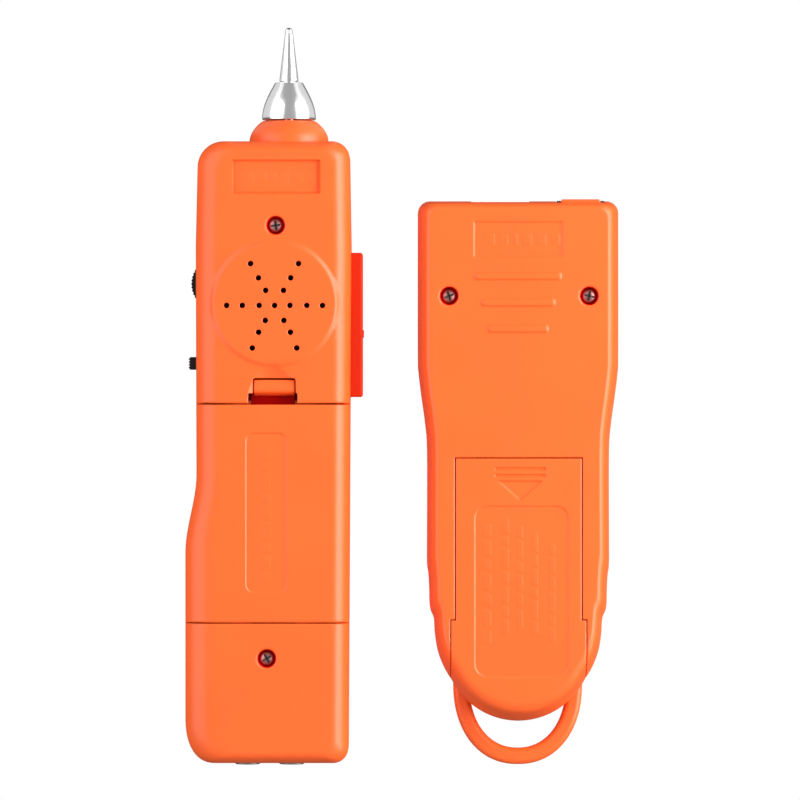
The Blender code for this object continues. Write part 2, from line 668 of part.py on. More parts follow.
def probe_insides(unit):
    """Board, speaker, wires, sockets, and what sits in the tail end."""
    board = block("probe_circuit_board", unit, (-18.7, 17.8), (105.5, 166.0), BOARD_Z, "board")
    cut(board, rods("board_hole", unit, PROBE_SCREWS[:1], 3.6, (0, 20), sides=16))
    sx, sy = SPEAKER
    cone = [(0, 24.2), (5.0, 24.4), (11.0, 26.0), (12.6, 26.0), (12.6, 26.7), (14.0, 26.7), (14.0, 24.6),
            (8.5, 22.0), (7.0, 22.0), (7.0, 20.3), (0, 20.3)]
    turned("probe_speaker", unit, cone, (sx, sy, 0), axis="Z", colour="black")
    lead("probe_tip_lead", unit, [(NOSE_X, 166.5, PROBE_PARTING), (NOSE_X + 0.4, 163.8, 13.8),
                                  (NOSE_X + 2.6, 160.5, 11.4), (NOSE_X + 3.6, 158.5, 9.0)], 0.5, "red_lead")

    block("probe_socket_bezel", unit, (19.9, SOCKET_BLOCK_FACE), SOCKET_BLOCK_Y, SOCKET_BLOCK_Z, "orange",
          rounding=0.35)
    bezel = bpy.data.objects["probe_socket_bezel"]
    y0, y1 = SOCKET_BLOCK_Y
    z0, z1 = SOCKET_BLOCK_Z
    join(bezel, block("bezel_flange", unit, (18.2, 19.1), (y0 - 0.6, y1 + 0.9), (z0 - 0.9, z1 + 0.9)))
    join(bezel, block("bezel_neck", unit, (18.5, 21.0), (y0 + 0.6, y1 - 0.6), (z0 + 0.6, z1 - 0.6)))
    join(bezel, block("bezel_rib", unit, (24.0, SOCKET_BLOCK_FACE + 0.3), (119.3, 121.5), (z0 + 4.5, z1 - 4.5)))
    middle = sum(JACK_Z) / 2
    for label, y, opening in (("rj45", PROBE_RJ45_Y, RJ45_OPENING), ("rj11", PROBE_RJ11_Y, RJ11_OPENING)):
        cut(bezel, block(f"bezel_{label}_hole", unit, (10, 30), (y - opening[0] / 2, y + opening[0] / 2),
                         (middle - opening[1] / 2, middle + opening[1] / 2)))
    jack("probe_rj45_jack", unit, PROBE_RJ45_Y, JACK_Z, 17.9, 14.4, RJ45_OUTSIDE, RJ45_OPENING, "X")
    jack("probe_rj11_jack", unit, PROBE_RJ11_Y, JACK_Z, 17.9, 13.0, RJ11_OUTSIDE, RJ11_OPENING, "X")
    contacts("probe_rj45_contacts", unit, PROBE_RJ45_Y, 8, 5.4, middle - RJ45_OPENING[1] / 2 + GAP, "X")
    contacts("probe_rj11_contacts", unit, PROBE_RJ11_Y, 4, 6.8, middle - RJ11_OPENING[1] / 2 + GAP, "X")

    tail_ring("probe_earphone_nut", unit, EARPHONE_X, 1.85)
    tail_ring("probe_torch_bezel", unit, TORCH_X, 2.75)
    socket = block("probe_earphone_jack", unit, (EARPHONE_X - 3, EARPHONE_X + 3), (2.8, 14.6), (12.0, 17.0),
                   "black")
    cut(socket, rods("earphone_bore", unit, [(EARPHONE_X, PROBE_PARTING)], 1.75, (0, 12.5), "Y", 16))
    lamp = [(0, 7.4), (2.8, 7.4), (2.8, 6.4), (2.4, 6.4), (2.4, 2.2), (2.0, 0.9), (1.0, 0.0), (0, -0.2)]
    turned("probe_torch_lamp", unit, lamp, (TORCH_X, 0, PROBE_PARTING), steps=20, colour="clear_lens")
    block("probe_tail_board", unit, (-14.5, 12.0), (15.0, 16.6), (7.5, 21.5), "board")


def probe_power(unit):
    """The 9 V battery, its snap cap and leads."""
    middle = 8.0 + BATTERY[2] / 2
    battery("probe_battery", unit, 43.0, 8.0)
    snap_connector("probe_battery_snap", unit, 91.9, middle)
    lead("probe_lead_red", unit, [(-6.4, 95.7, middle + 2), (-7.0, 96.6, middle + 2), (-9.4, 97.8, 18.0),
                                  (-9.6, 100.4, 17.9), (-9.6, 104.0, 15.0), (-9.6, 106.6, 11.5),
                                  (-9.6, 107.6, 9.2)], 0.6, "red_lead")
    lead("probe_lead_black", unit, [(-9.2, 95.7, middle - 2), (-9.6, 96.8, middle - 1.6),
                                    (-11.5, 98.0, 17.2), (-11.5, 100.4, 17.6), (-11.5, 104.0, 15.0),
                                    (-11.6, 106.6, 11.5), (-11.6, 107.6, 9.2)], 0.6, "black")


def probe_front_trim(unit):
    """The printed panel and the lamps that show through it."""
    outline = rounded_rectangle((-15.1, 15.1), (104.9, 167.1), 3.6)
    label = slab("probe_front_label", unit, outline, (0.35, 0.6), "label")
    bx, by = LISTEN_BUTTON
    cut(label, rods("label_button_hole", unit, [(bx, by)], LISTEN_BUTTON_RADIUS + GAP, (-5, 5), sides=32))
    cut(label, rods("label_lamp_hole", unit, [(0.0, 161.0)], 1.8, (-5, 5), sides=16))
    cut(label, block("label_line_hole", unit, (-12.3, 12.3), (140.7, 144.3), (-5, 5)))
    rods("probe_signal_lamp", unit, [(0.0, 161.0)], 1.5, (0.4, 6.7), sides=16, colour="red_lens")
    block("probe_line_lamps", unit, (-12.0, 12.0), (141.0, 144.0), (0.4, 6.7), "red_lens")


def make_probe():
    unit = unit_empty("probe_unit", PROBE_PLACE)
    probe_casing(unit)
    probe_door(unit)
    probe_nose(unit)
    probe_controls(unit)
    probe_insides(unit)
    probe_power(unit)
    probe_front_trim(unit)
    for label, place in zip(("upper", "lower"), PROBE_SCREWS):
        screw(f"probe_screw_{label}", unit, place, 27.6, 17.0)


# ======================================================================================
# The generator
# ======================================================================================
def door_region_outline(clearance):
    """The sliding door seen from the back: narrow above the step and wide below it, past the tail."""
    narrow, wide = GEN_DOOR_HALF_WIDTH + clearance, GEN_DOOR_TAIL_HALF_WIDTH + clearance
    top, step = GEN_DOOR_TOP + clearance, GEN_DOOR_STEP + clearance
    return [(wide, -20), (wide, step), (narrow, step), (narrow, top),
            (-narrow, top), (-narrow, step), (-wide, step), (-wide, -20)]


def loop_outline(grow):
    """The hanging loop: an oval ring's lower half, whose feet reach into the tail."""
    foot_y, thick = 16.0, 4.6
    outer_x, inner_x = 18.2 + grow, 18.2 - thick - grow
    outer_y, inner_y = 10.0 + LOOP_DROP + grow, 10.0 + LOOP_DROP - thick - grow
    outer = arc(0, 10.0, outer_x, outer_y, 180, 360, 20, power=0.92)
    inner = arc(0, 10.0, inner_x, inner_y, 360, 180, 20, power=0.92)
    return ([(-outer_x, foot_y + grow), *outer, (outer_x, foot_y + grow), (inner_x, foot_y + grow), *inner,
             (-inner_x, foot_y + grow)])


def generator_casing(unit):
    """The front and back shells, with their bosses, battery bay and openings."""
    outline = generator_outline()
    front = casing("generator_front_shell", unit, outline, front_levels(GEN_PARTING, GEN_FRONT_INSETS),
                   GEN_WALL, "orange")
    back = casing("generator_back_shell", unit, outline, generator_back_levels(), GEN_WALL, "orange")
    join(front, rods("gen_front_bosses", unit, GEN_SCREWS, 3.2, (1.0, GEN_PARTING - 0.4), sides=16))
    cut(front, rods("gen_front_bores", unit, GEN_SCREWS, 1.55, (3.0, GEN_PARTING + 2), sides=12))
    join(back, rods("gen_back_bosses", unit, GEN_SCREWS, 4.1, (GEN_PARTING + 0.4, 26.0), sides=20))

    # the door's opening: its outline above the deck, and the whole tail end
    cut(back, slab("gen_door_opening", unit, door_region_outline(0.3), (23.2, 40)))
    cut(back, block("gen_tail_opening", unit, (-19.2, 19.2), (-20, 17.0), (5, 40)))
    deck, tub, space = battery_tray("gen_bay", unit, outline, (20.5, 76.5), (21.7, 22.9),
                                    ((-14.4, 14.4), (20.0, 74.6)), 6.4)
    join(back, deck, tub)
    cut(back, space)
    cut(back, block("gen_lead_hole", unit, (-12.6, -8.4), (74, 78), (15.0, 19.0)))

    # the grip bars and the name plate on the back
    for row, half in enumerate((12.0, 10.2, 8.3)):
        y = 124.9 - 7.35 * row
        bar = rounded_rectangle((-0.2 - half, -0.2 + half), (y - 0.95, y + 0.95), 0.9, 2)
        join(back, slab(f"grip_bar_{row}", unit, bar, (26.0, GEN_THICK + 0.5)))
    cut(back, block("gen_plate_recess", unit, (-12.5, 12.2), (130.4, 140.1), (GEN_THICK - 0.5, 40)))
    hood = rounded_rectangle((11.9, 22.9), (143.6, GEN_LENGTH + 0.35), 0.6, 2)
    join(back, slab("jack_hood", unit, hood, (JACK_Z[1] + 0.6, JACK_Z[1] + 3.4)))
    cut(back, rods("gen_screw_sinks", unit, GEN_SCREWS, SCREW_SINK_RADIUS, (23.6, 33), sides=24))
    cut(back, rods("gen_screw_bores", unit, GEN_SCREWS, 1.55, (10, 30), sides=12))

    # the socket windows in the head end, cut half from each shell
    for label, x, outside in (("rj45", GEN_RJ45_X, RJ45_OUTSIDE), ("rj11", GEN_RJ11_X, RJ11_OUTSIDE)):
        window = block(f"gen_{label}_window", unit, (x - outside / 2 - GAP, x + outside / 2 + GAP),
                       (GEN_LENGTH - 4.5, GEN_LENGTH + 5), (JACK_Z[0] - GAP, JACK_Z[1] + GAP))
        cut(front, window)
        cut(back, window)

    # the front's control panel, the switch's slot, the lamps' windows and the loop's feet
    panel = rounded_rectangle((-21.0, 21.0), (82.0, 140.0), 4)
    cut(front, slab("gen_panel_recess", unit, panel, (-5, 0.9)))
    cut(front, block("gen_switch_slot", unit, (-2.9, 2.9), (GEN_SWITCH_Y - 7.2, GEN_SWITCH_Y + 7.2), (-5, 5)))
    cut(front, rods("gen_lamp_holes", unit, [(-13.0, 112.0), (13.0, 112.0)], 1.8, (-5, 5), sides=16))
    cut(front, block("gen_line_hole", unit, (-12.3, 12.3), (128.7, 132.3), (-5, 5)))
    cut(front, slab("loop_slots", unit, loop_outline(GAP), (4.5 - GAP, 9.5 + GAP)))
    return front, back


def generator_door(unit):
    """The sliding battery door, with the tongue that runs under the back shell's edges."""
    door = casing("generator_battery_door", unit, generator_outline(), generator_back_levels(), GEN_WALL,
                  "orange")
    region = slab("gen_door_region", unit, door_region_outline(0.0), (5, 40))
    boolean(door, region, "INTERSECT")
    cut(door, block("gen_door_underside", unit, (-40, 40), (16.7, 80), (0, 23.5)))
    for side in (-1, 1):
        root = sorted((side * 15.0, side * 16.8))
        tongue = sorted((side * 15.2, side * 18.6))
        join(door, block(f"door_tongue_root_{side}", unit, root, (31.0, 72.0), (23.7, 25.5)))
        join(door, block(f"door_tongue_{side}", unit, tongue, (31.0, 72.0), (23.4, 24.6)))
    # the sliding arrow, in two bars and a triangle, and the notice plate's recess
    centre = 0.4
    for row, y in enumerate((71.0, 69.1)):
        cut(door, block(f"arrow_bar_{row}", unit, (centre - 7.0, centre + 7.0), (y - 0.35, y + 0.35),
                        (GEN_THICK - 0.4, 40)))
    triangle = [(centre - 6.1, 67.6), (centre, 62.2), (centre + 6.1, 67.6)]
    cut(door, slab("arrow_triangle", unit, triangle, (GEN_THICK - 0.4, 40)))
    plate = rounded_rectangle((-12.3, 13.9), (12.9, 60.6), 3.5)
    cut(door, slab("gen_notice_recess", unit, plate, (GEN_THICK - 0.3, 40)))
    put_origin(door, (0, GEN_DOOR_TOP, GEN_THICK))
    return door


def generator_controls(unit):
    """The three-place slide switch on the front."""
    block("generator_mode_switch_body", unit, (-4.5, 4.5), (GEN_SWITCH_Y - 9, GEN_SWITCH_Y + 9), (3.4, 6.7),
          "steel")
    knob = block("generator_mode_switch_knob", unit, (-2.4, 2.4), (GEN_SWITCH_Y - 2.8, GEN_SWITCH_Y + 2.8),
                 (0.2, 3.1), "black", rounding=0.3)
    put_origin(knob, (0, GEN_SWITCH_Y, 3.1))


def generator_insides(unit):
    """Board, sockets and their contacts, battery and leads."""
    board_outline = [(-23.0, 79.0), (23.0, 79.0), (23.2, 87.0), (24.8, 97.0), (24.8, 142.6),
                     (-24.8, 142.6), (-24.8, 97.0), (-23.2, 87.0)]
    board = slab("generator_circuit_board", unit, board_outline, BOARD_Z, "board")
    cut(board, rods("gen_board_holes", unit, GEN_SCREWS, 3.6, (0, 20), sides=16))
    middle = sum(JACK_Z) / 2
    jack("generator_rj45_jack", unit, GEN_RJ45_X, JACK_Z, GEN_LENGTH - 0.6, 14.4, RJ45_OUTSIDE, RJ45_OPENING, "Y")
    jack("generator_rj11_jack", unit, GEN_RJ11_X, JACK_Z, GEN_LENGTH, 13.0, RJ11_OUTSIDE, RJ11_OPENING, "Y")
    contacts("generator_rj45_contacts", unit, GEN_RJ45_X, 8, GEN_LENGTH - 13.1,
             middle - RJ45_OPENING[1] / 2 + GAP, "Y")
    contacts("generator_rj11_contacts", unit, GEN_RJ11_X, 4, GEN_LENGTH - 11.1,
             middle - RJ11_OPENING[1] / 2 + GAP, "Y")
    battery("generator_battery", unit, 20.8, 6.8)
    centre = 6.8 + BATTERY[2] / 2
    snap_connector("generator_battery_snap", unit, 69.7, centre)
    lead("generator_lead_red", unit, [(-6.4, 73.4, centre + 2), (-7.0, 73.8, centre + 2), (-9.6, 74.2, 17.0),
                                      (-9.6, 76.4, 17.0), (-9.6, 79.5, 14.0), (-9.6, 82.0, 11.0),
                                      (-9.6, 83.0, 9.2)], 0.5, "red_lead")
    lead("generator_lead_black", unit, [(-9.6, 73.7, centre - 3), (-10.2, 73.9, centre - 2.4),
                                        (-11.5, 74.2, 16.2), (-11.5, 76.4, 16.6), (-11.5, 79.5, 14.0),
                                        (-11.6, 82.0, 11.0), (-11.6, 83.0, 9.2)], 0.5, "black")


def generator_front_trim(unit):
    """The printed panel and the lamps that show through it."""
    outline = rounded_rectangle((-20.6, 20.6), (82.4, 139.6), 3.6)
    label = slab("generator_front_label", unit, outline, (0.35, 0.6), "label")
    cut(label, block("gen_label_slot", unit, (-2.9, 2.9), (GEN_SWITCH_Y - 7.2, GEN_SWITCH_Y + 7.2), (-5, 5)))
    cut(label, rods("gen_label_lamps", unit, [(-13.0, 112.0), (13.0, 112.0)], 1.8, (-5, 5), sides=16))
    cut(label, block("gen_label_line", unit, (-12.3, 12.3), (128.7, 132.3), (-5, 5)))
    for name, x in (("generator_tone_lamp", -13.0), ("generator_test_lamp", 13.0)):
        rods(name, unit, [(x, 112.0)], 1.5, (0.4, 6.7), sides=16, colour="red_lens")
    block("generator_line_lamps", unit, (-12.0, 12.0), (129.0, 132.0), (0.4, 6.7), "red_lens")


def make_generator():
    unit = unit_empty("generator_unit", GENERATOR_PLACE)
    generator_casing(unit)
    generator_door(unit)
    generator_controls(unit)
    generator_insides(unit)
    generator_front_trim(unit)
    loop = slab("generator_hanging_loop", unit, loop_outline(0.0), (4.5, 9.5), "orange")
    round_edges(loop, 0.8)
    for label, place in zip(("left", "right"), GEN_SCREWS):
        screw(f"generator_screw_{label}", unit, place, 25.6, 16.0)


make_probe()
make_generator()
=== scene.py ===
import math

import bmesh
import bpy
import numpy as np
from mathutils import Matrix, Vector, geometry


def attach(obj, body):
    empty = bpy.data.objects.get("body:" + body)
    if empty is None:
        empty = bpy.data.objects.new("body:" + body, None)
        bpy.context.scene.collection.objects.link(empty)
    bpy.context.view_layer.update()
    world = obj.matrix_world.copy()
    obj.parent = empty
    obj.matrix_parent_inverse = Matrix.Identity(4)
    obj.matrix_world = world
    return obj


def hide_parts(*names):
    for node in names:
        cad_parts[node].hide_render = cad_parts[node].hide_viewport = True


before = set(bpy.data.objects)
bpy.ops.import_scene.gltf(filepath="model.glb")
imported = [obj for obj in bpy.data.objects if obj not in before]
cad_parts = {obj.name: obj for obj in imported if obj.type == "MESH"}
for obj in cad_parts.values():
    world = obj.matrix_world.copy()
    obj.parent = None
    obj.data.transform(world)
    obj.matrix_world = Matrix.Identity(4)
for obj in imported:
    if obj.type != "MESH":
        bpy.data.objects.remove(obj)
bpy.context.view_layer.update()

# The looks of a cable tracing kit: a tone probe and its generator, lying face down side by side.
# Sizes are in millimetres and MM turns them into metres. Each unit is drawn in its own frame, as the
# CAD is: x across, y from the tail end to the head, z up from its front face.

MM = 0.001
SCENE = bpy.context.scene

# ---- sizes of the two units, as in the CAD
PROBE, GEN = (-36.2, -102.95), (32.6, -91.45)  # where each unit's frame lies
PROBE_HALF_WIDTH, PROBE_LENGTH, PROBE_THICK, PROBE_BULGE = 21.5, 174.3, 29.0, 3.1
PROBE_PARTING, PROBE_SKIRT, GEN_PARTING = 14.5, 22.6, 13.5
PROBE_DOOR = (39.6, 100.45)
PROBE_SCREWS = ((0.8, 150.6), (-1.7, 29.5))
SPEAKER, SPEAKER_TOP = (0.5, 128.8), 29.7
GRILLE = (0.5, 128.2)  # the middle hole
GRILLE_ROW = (4.3, 9.0, 13.4)  # holes to either side of it
GRILLE_RAYS = ((11.7, 6.7), (7.7, 4.5), (4.2, 2.5), (-4.2, 2.6), (-7.5, 4.45), (-11.9, 6.2))  # dy, dx
NOSE_X, COLLAR_TOP, FERRULE_TOP, TIP_END = 4.3, 180.3, 191.1, 206.6
WHEEL, WHEEL_RADIUS = (-15.6, 134.5), 7.7
SWITCH_Y = 112.1
EARPHONE_X, TORCH_X = -7.3, 5.1
SOCKET_Y, SOCKET_Z, SOCKET_FACE = (102.6, 143.1), (6.6, 21.6), 25.1
GEN_HALF_WIDTH, GEN_LENGTH, GEN_THICK = 28.2, 146.2, 27.0
GEN_SCREWS = ((-19.5, 119.4), (19.7, 119.4))
GEN_DOOR = (17.6, 18.9, 73.9, 28.6)  # half widths above and below the step, top, step
JACK_Z = (8.9, 19.9)
SINK_RADIUS, SCREW_RADIUS, SCREW_BORE = 2.65, 2.1, 1.55
BUTTON, PROBE_LAMPS, GEN_LAMPS = (0.0, 118.0), ((0.0, 161.0),), ((-13.0, 112.0), (13.0, 112.0))
PROBE_ROW_Y, GEN_ROW_Y = 142.5, 130.5  # the rows of line lamps
LAMP_ROW = [-10.7 + 3.06 * i for i in range(8)]
DOOR_GAP = 0.3
LIP = 0.15  # a shell's edge stands this far off the parting plane
THROUGH = (-5, 5)
BATTERY = (26.5, 46.4, 17.5)


# ---- Materials
def feed(tree, socket, value):
    """Links a socket to an input, or sets the input's value."""
    if isinstance(value, bpy.types.NodeSocket):
        tree.links.new(value, socket)
    else:
        socket.default_value = value


def node(tree, kind, **values):
    """A shader node. Each value sets a property, or feeds an input given by its name or as iN."""
    made = tree.nodes.new("ShaderNode" + kind)
    for name, value in values.items():
        if hasattr(made, name):
            setattr(made, name, value)
        else:
            key = int(name[1:]) if name[1:].isdigit() else name.replace("_", " ")
            feed(tree, made.inputs[key], value)
    return made


def shade(colour, factor):
    return (*(min(1.0, c * factor) for c in colour), 1.0)


FINISHES = {}


def finish_of(name, colour, roughness, metallic=0.0, tint=0.05, patch=22.0, grain=0.35, bump=0.004,
              coat=0.0, transmission=0.0, ior=1.5, subsurface=0.0):
    """A procedural finish: slow patches of tint, and a fine grain in gloss and relief."""
    made = bpy.data.materials.new(name)
    made.use_nodes = True
    made.diffuse_color = (*colour, 1.0)
    tree = made.node_tree
    place = node(tree, "TexCoord").outputs["Object"]
    scaled = node(tree, "Mapping", Vector=place, Scale=(1 / MM, 1 / MM, 1 / MM)).outputs[0]
    slow = node(tree, "TexNoise", Vector=scaled, Scale=1 / patch, Detail=4.0).outputs["Fac"]
    fine = node(tree, "TexNoise", Vector=scaled, Scale=1 / grain, Detail=2.0).outputs["Fac"]
    spread = node(tree, "MapRange", Value=slow, From_Min=0.3, From_Max=0.7).outputs[0]
    dark, light = shade(colour, 1 - tint), shade(colour, 1 + tint)
    base = node(tree, "Mix", data_type="RGBA", i0=spread, i6=dark, i7=light)
    gloss = node(tree, "MapRange", Value=fine, To_Min=roughness - 0.04, To_Max=roughness + 0.05)
    relief = node(tree, "Bump", Height=fine, Strength=1.0, Distance=bump * MM)
    inputs = {"Base Color": base.outputs[2], "Roughness": gloss.outputs[0], "Normal": relief.outputs[0],
              "Metallic": metallic, "Coat Weight": coat, "Coat Roughness": 0.12, "IOR": ior,
              "Transmission Weight": transmission, "Subsurface Weight": subsurface,
              "Subsurface Radius": (1.0, 0.25, 0.1), "Subsurface Scale": 1.2 * MM}
    for key, value in inputs.items():
        feed(tree, tree.nodes["Principled BSDF"].inputs[key], value)
    FINISHES[name] = made
    return made


def board_finish():
    """Solder mask over fine copper tracks."""
    made = finish_of("board", (0.015, 0.16, 0.05), 0.35, coat=0.3)
    tree = made.node_tree
    base = tree.nodes["Principled BSDF"].inputs["Base Color"]
    tracks = node(tree, "TexVoronoi", distance="CHEBYCHEV", feature="F1", Scale=0.45,
                  Vector=tree.nodes["Mapping"].outputs[0]).outputs["Distance"]
    line = node(tree, "MapRange", Value=tracks, From_Min=0.42, From_Max=0.5).outputs[0]
    mixed = node(tree, "Mix", data_type="RGBA", i0=line, i6=base.links[0].from_socket, i7=(0.06, 0.34, 0.12, 1))
    feed(tree, base, mixed.outputs[2])
    return made


ORANGE = finish_of("orange_plastic", (0.93, 0.118, 0.0165), 0.36, tint=0.03, bump=0.003, ior=1.47)
# A darker, redder copy of the orange for the socket block: painted shade where it sits low beside the casing's
# wall.
BEZEL_SHADE = finish_of("bezel_painted_shade", (0.56, 0.020, 0.0012), 0.5, tint=0.03, bump=0.003, ior=1.22)
# A dark red copy of the orange: painted shade in the screw sinks, the catch's pit and the strap seen down its
# slot.
SHADED = finish_of("shaded_plastic", (0.58, 0.005, 0.004), 0.6, tint=0.04, ior=1.1)
BLACK = finish_of("black_plastic", (0.004, 0.004, 0.0045), 0.5, tint=0.2, patch=4.0, ior=1.3)
finish_of("nickel_plate", (0.84, 0.84, 0.845), 0.2, 1.0, tint=0.04, grain=1.2, bump=0.001)
STEEL = finish_of("steel", (0.30, 0.27, 0.26), 0.38, 1.0, tint=0.12, patch=2.5, grain=0.2)
# Steel tinted towards the orange: steel with a painted reflection of the casing round it.
SCREW_STEEL_AND_REFLECTION = finish_of("screw_steel_and_painted_reflection", (0.44, 0.22, 0.20), 0.36, 1.0, tint=0.15, patch=1.5, grain=0.2)
BOARD = board_finish()
GOLD = finish_of("gold_contact", (0.83, 0.60, 0.22), 0.25, 1.0, tint=0.08, patch=2.0)
FILM = finish_of("panel_film", (0.03, 0.032, 0.036), 0.3, tint=0.15, patch=9.0, coat=0.3)
PRINT = finish_of("panel_print", (0.75, 0.76, 0.78), 0.35, tint=0.05, patch=5.0)
BAND = finish_of("panel_band", (0.72, 0.16, 0.04), 0.35, tint=0.06, patch=5.0)
finish_of("red_lens", (0.75, 0.02, 0.015), 0.12, tint=0.1, coat=0.6, grain=0.9, subsurface=0.3)
finish_of("clear_lens", (0.86, 0.90, 0.93), 0.06, tint=0.03, transmission=0.85, grain=0.9, bump=0.002)
JACKET = finish_of("battery_jacket", (0.03, 0.07, 0.20), 0.32, 0.3, tint=0.15, patch=12.0, coat=0.4)
COPPER = finish_of("battery_band", (0.62, 0.30, 0.12), 0.3, 0.8, tint=0.1, patch=8.0)
RED_WIRE = finish_of("red_wire", (0.62, 0.015, 0.012), 0.38, tint=0.08, patch=3.0)
BLACK_WIRE = finish_of("black_wire", (0.02, 0.02, 0.022), 0.38, tint=0.2, patch=3.0)
# Dark jack plastic, also used for painted shade at the bottom of the screws' cross recesses.
SOCKET_AND_SHADE = finish_of("socket_plastic", (0.045, 0.045, 0.05), 0.4, tint=0.15, patch=5.0)


# ---- Meshes
def placed(name, data):
    """A new object in the scene."""
    obj = bpy.data.objects.new(name, data)
    SCENE.collection.objects.link(obj)
    return obj


def new_mesh(unit, points, faces):
    """A mesh object from points in a unit's frame. The object itself stays at the origin."""
    mesh = bpy.data.meshes.new("part")
    moved = (np.asarray(points, float) + (*unit, 0.0)) * MM
    mesh.from_pydata([tuple(p) for p in moved], [], [tuple(map(int, f)) for f in faces])
    mesh.validate()
    return placed("part", mesh)


def outward(obj):
    """Drops loose points and turns the faces outward."""
    bm = bmesh.new()
    bm.from_mesh(obj.data)
    bmesh.ops.delete(bm, geom=[v for v in bm.verts if not v.link_faces], context="VERTS")
    bmesh.ops.recalc_face_normals(bm, faces=bm.faces)
    bm.to_mesh(obj.data)
    bm.free()
    return obj


def bake(obj):
    """Turns an object's modifiers into its mesh."""
    made = bpy.data.meshes.new_from_object(obj.evaluated_get(bpy.context.evaluated_depsgraph_get()))
    old = obj.data
    obj.modifiers.clear()
    obj.data = made
    bpy.data.meshes.remove(old)
    return obj


def rounded(obj, width, segments=3, angle=30):
    if width:
        modifier = obj.modifiers.new("bevel", "BEVEL")
        modifier.width, modifier.segments = width * MM, segments
        modifier.limit_method, modifier.angle_limit = "ANGLE", math.radians(angle)
        bake(obj)
    return obj


def carve(obj, *cutters, operation="DIFFERENCE", solver="EXACT"):
    """Applies booleans and drops the cutters."""
    for cutter in cutters:
        modifier = obj.modifiers.new("boolean", "BOOLEAN")
        modifier.operation, modifier.object, modifier.solver = operation, cutter, solver
    bake(obj)
    for cutter in cutters:
        bpy.data.objects.remove(cutter)
    return obj


def merged(*parts):
    """One object from several, with the materials each had."""
    bm, materials = bmesh.new(), []
    for part in parts:
        start = len(bm.faces)
        bm.from_mesh(part.data)
        bm.faces.ensure_lookup_table()
        own = part.data.materials[0] if part.data.materials else None
        if own not in materials:
            materials.append(own)
        for face in bm.faces[start:]:
            face.material_index = materials.index(own)
        bpy.data.objects.remove(part)
    mesh = bpy.data.meshes.new("merged")
    bm.to_mesh(mesh)
    bm.free()
    for own in materials:
        mesh.materials.append(own)
    return placed("merged", mesh)


def painted(obj, material):
    obj.data.materials.clear()
    obj.data.materials.append(material)
    return obj


def show(name, obj, cad_node="", body="root", slot="orange_plastic", angle=32):
    """Smooths a finished piece, names it, hangs it on its body and hides the CAD node it stands in for. The node
    has the piece's own name where none is given."""
    obj.name = obj.data.name = name + "_fine"
    if not any(obj.data.materials):
        painted(obj, FINISHES[slot])
    obj.data.shade_smooth()
    obj.data.set_sharp_from_angle(angle=math.radians(angle))
    obj.modifiers.new("normals", "WEIGHTED_NORMAL").keep_sharp = True
    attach(obj, body)
    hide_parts(cad_node or name)


AXES = {"Z": lambda a, b, h: (a, b, h), "Y": lambda a, b, h: (b, h, a), "X": lambda a, b, h: (h, a, b)}


def block(unit, x, y, z, rounding=0.0, segments=3):
    (x0, x1), (y0, y1), (z0, z1) = x, y, z
    points = [(a, b, c) for c in (z0, z1) for b in (y0, y1) for a in (x0, x1)]
    faces = [(0, 2, 3, 1), (4, 5, 7, 6), (0, 1, 5, 4), (1, 3, 7, 5), (3, 2, 6, 7), (2, 0, 4, 6)]
    return rounded(new_mesh(unit, points, faces), rounding, segments)


def slab(unit, outline, span, rounding=0.0, segments=3, axis="Z"):
    """An outline carried along an axis. Its points are the two other coordinates, anticlockwise."""
    n = len(outline)
    points = [AXES[axis](a, b, h) for h in span for a, b in outline]
    faces = [tuple(reversed(range(n))), tuple(range(n, 2 * n))]
    faces += [(i, (i + 1) % n, n + (i + 1) % n, n + i) for i in range(n)]
    return rounded(new_mesh(unit, points, faces), rounding, segments, 60)


def turned(unit, profile, centre, axis="Z", steps=64):
    """A turned piece from (radius, height) points. Heights run along the axis from centre."""
    rings, points = [], []
    for r, h in profile:
        count = 1 if r <= 0 else steps
        rings.append(range(len(points), len(points) + count))
        for i in range(count):
            angle = 2 * math.pi * i / steps
            p = AXES[axis](r * math.cos(angle), r * math.sin(angle), h)
            points.append(tuple(a + b for a, b in zip(p, centre)))
    faces = []
    closed = [] if profile[0][0] <= 0 or profile[-1][0] <= 0 else [(rings[-1], rings[0])]
    for low, high in list(zip(rings, rings[1:])) + closed:
        for i in range(steps):
            j = (i + 1) % steps
            a, b = low[i % len(low)], low[j % len(low)]
            c, d = high[j % len(high)], high[i % len(high)]
            faces.append(tuple(dict.fromkeys((a, b, c, d))))
    return outward(new_mesh(unit, points, faces))


def rod(unit, place, radius, span, axis="Z", steps=48):
    """A plain cylinder; place gives its two other coordinates."""
    centre = {"X": (0, *place), "Y": (place[0], 0, place[1]), "Z": (*place, 0)}[axis]
    return turned(unit, [(0, span[1]), (radius, span[1]), (radius, span[0]), (0, span[0])], centre, axis, steps)


def arc(cx, cy, rx, ry, start, end, steps, power=1.0):
    points = []
    for i in range(steps + 1):
        angle = math.radians(start + (end - start) * i / steps)
        c, s = math.cos(angle), math.sin(angle)
        points.append((cx + rx * math.copysign(abs(c) ** power, c),
                       cy + ry * math.copysign(abs(s) ** power, s)))
    return points


def rectangle(x, y, radius, steps=8):
    """A rectangle's outline with rounded corners."""
    radius = max(radius, 0.03)
    points = []
    for cx, cy, start in ((x[1], y[0], -90), (x[1], y[1], 0), (x[0], y[1], 90), (x[0], y[0], 180)):
        inner_x = cx - radius if cx == x[1] else cx + radius
        inner_y = cy - radius if cy == y[1] else cy + radius
        points += arc(inner_x, inner_y, radius, radius, start, start + 90, steps)
    return points


def smooth(t):
    t = np.clip(t, 0.0, 1.0)
    return t * t * (3 - 2 * t)


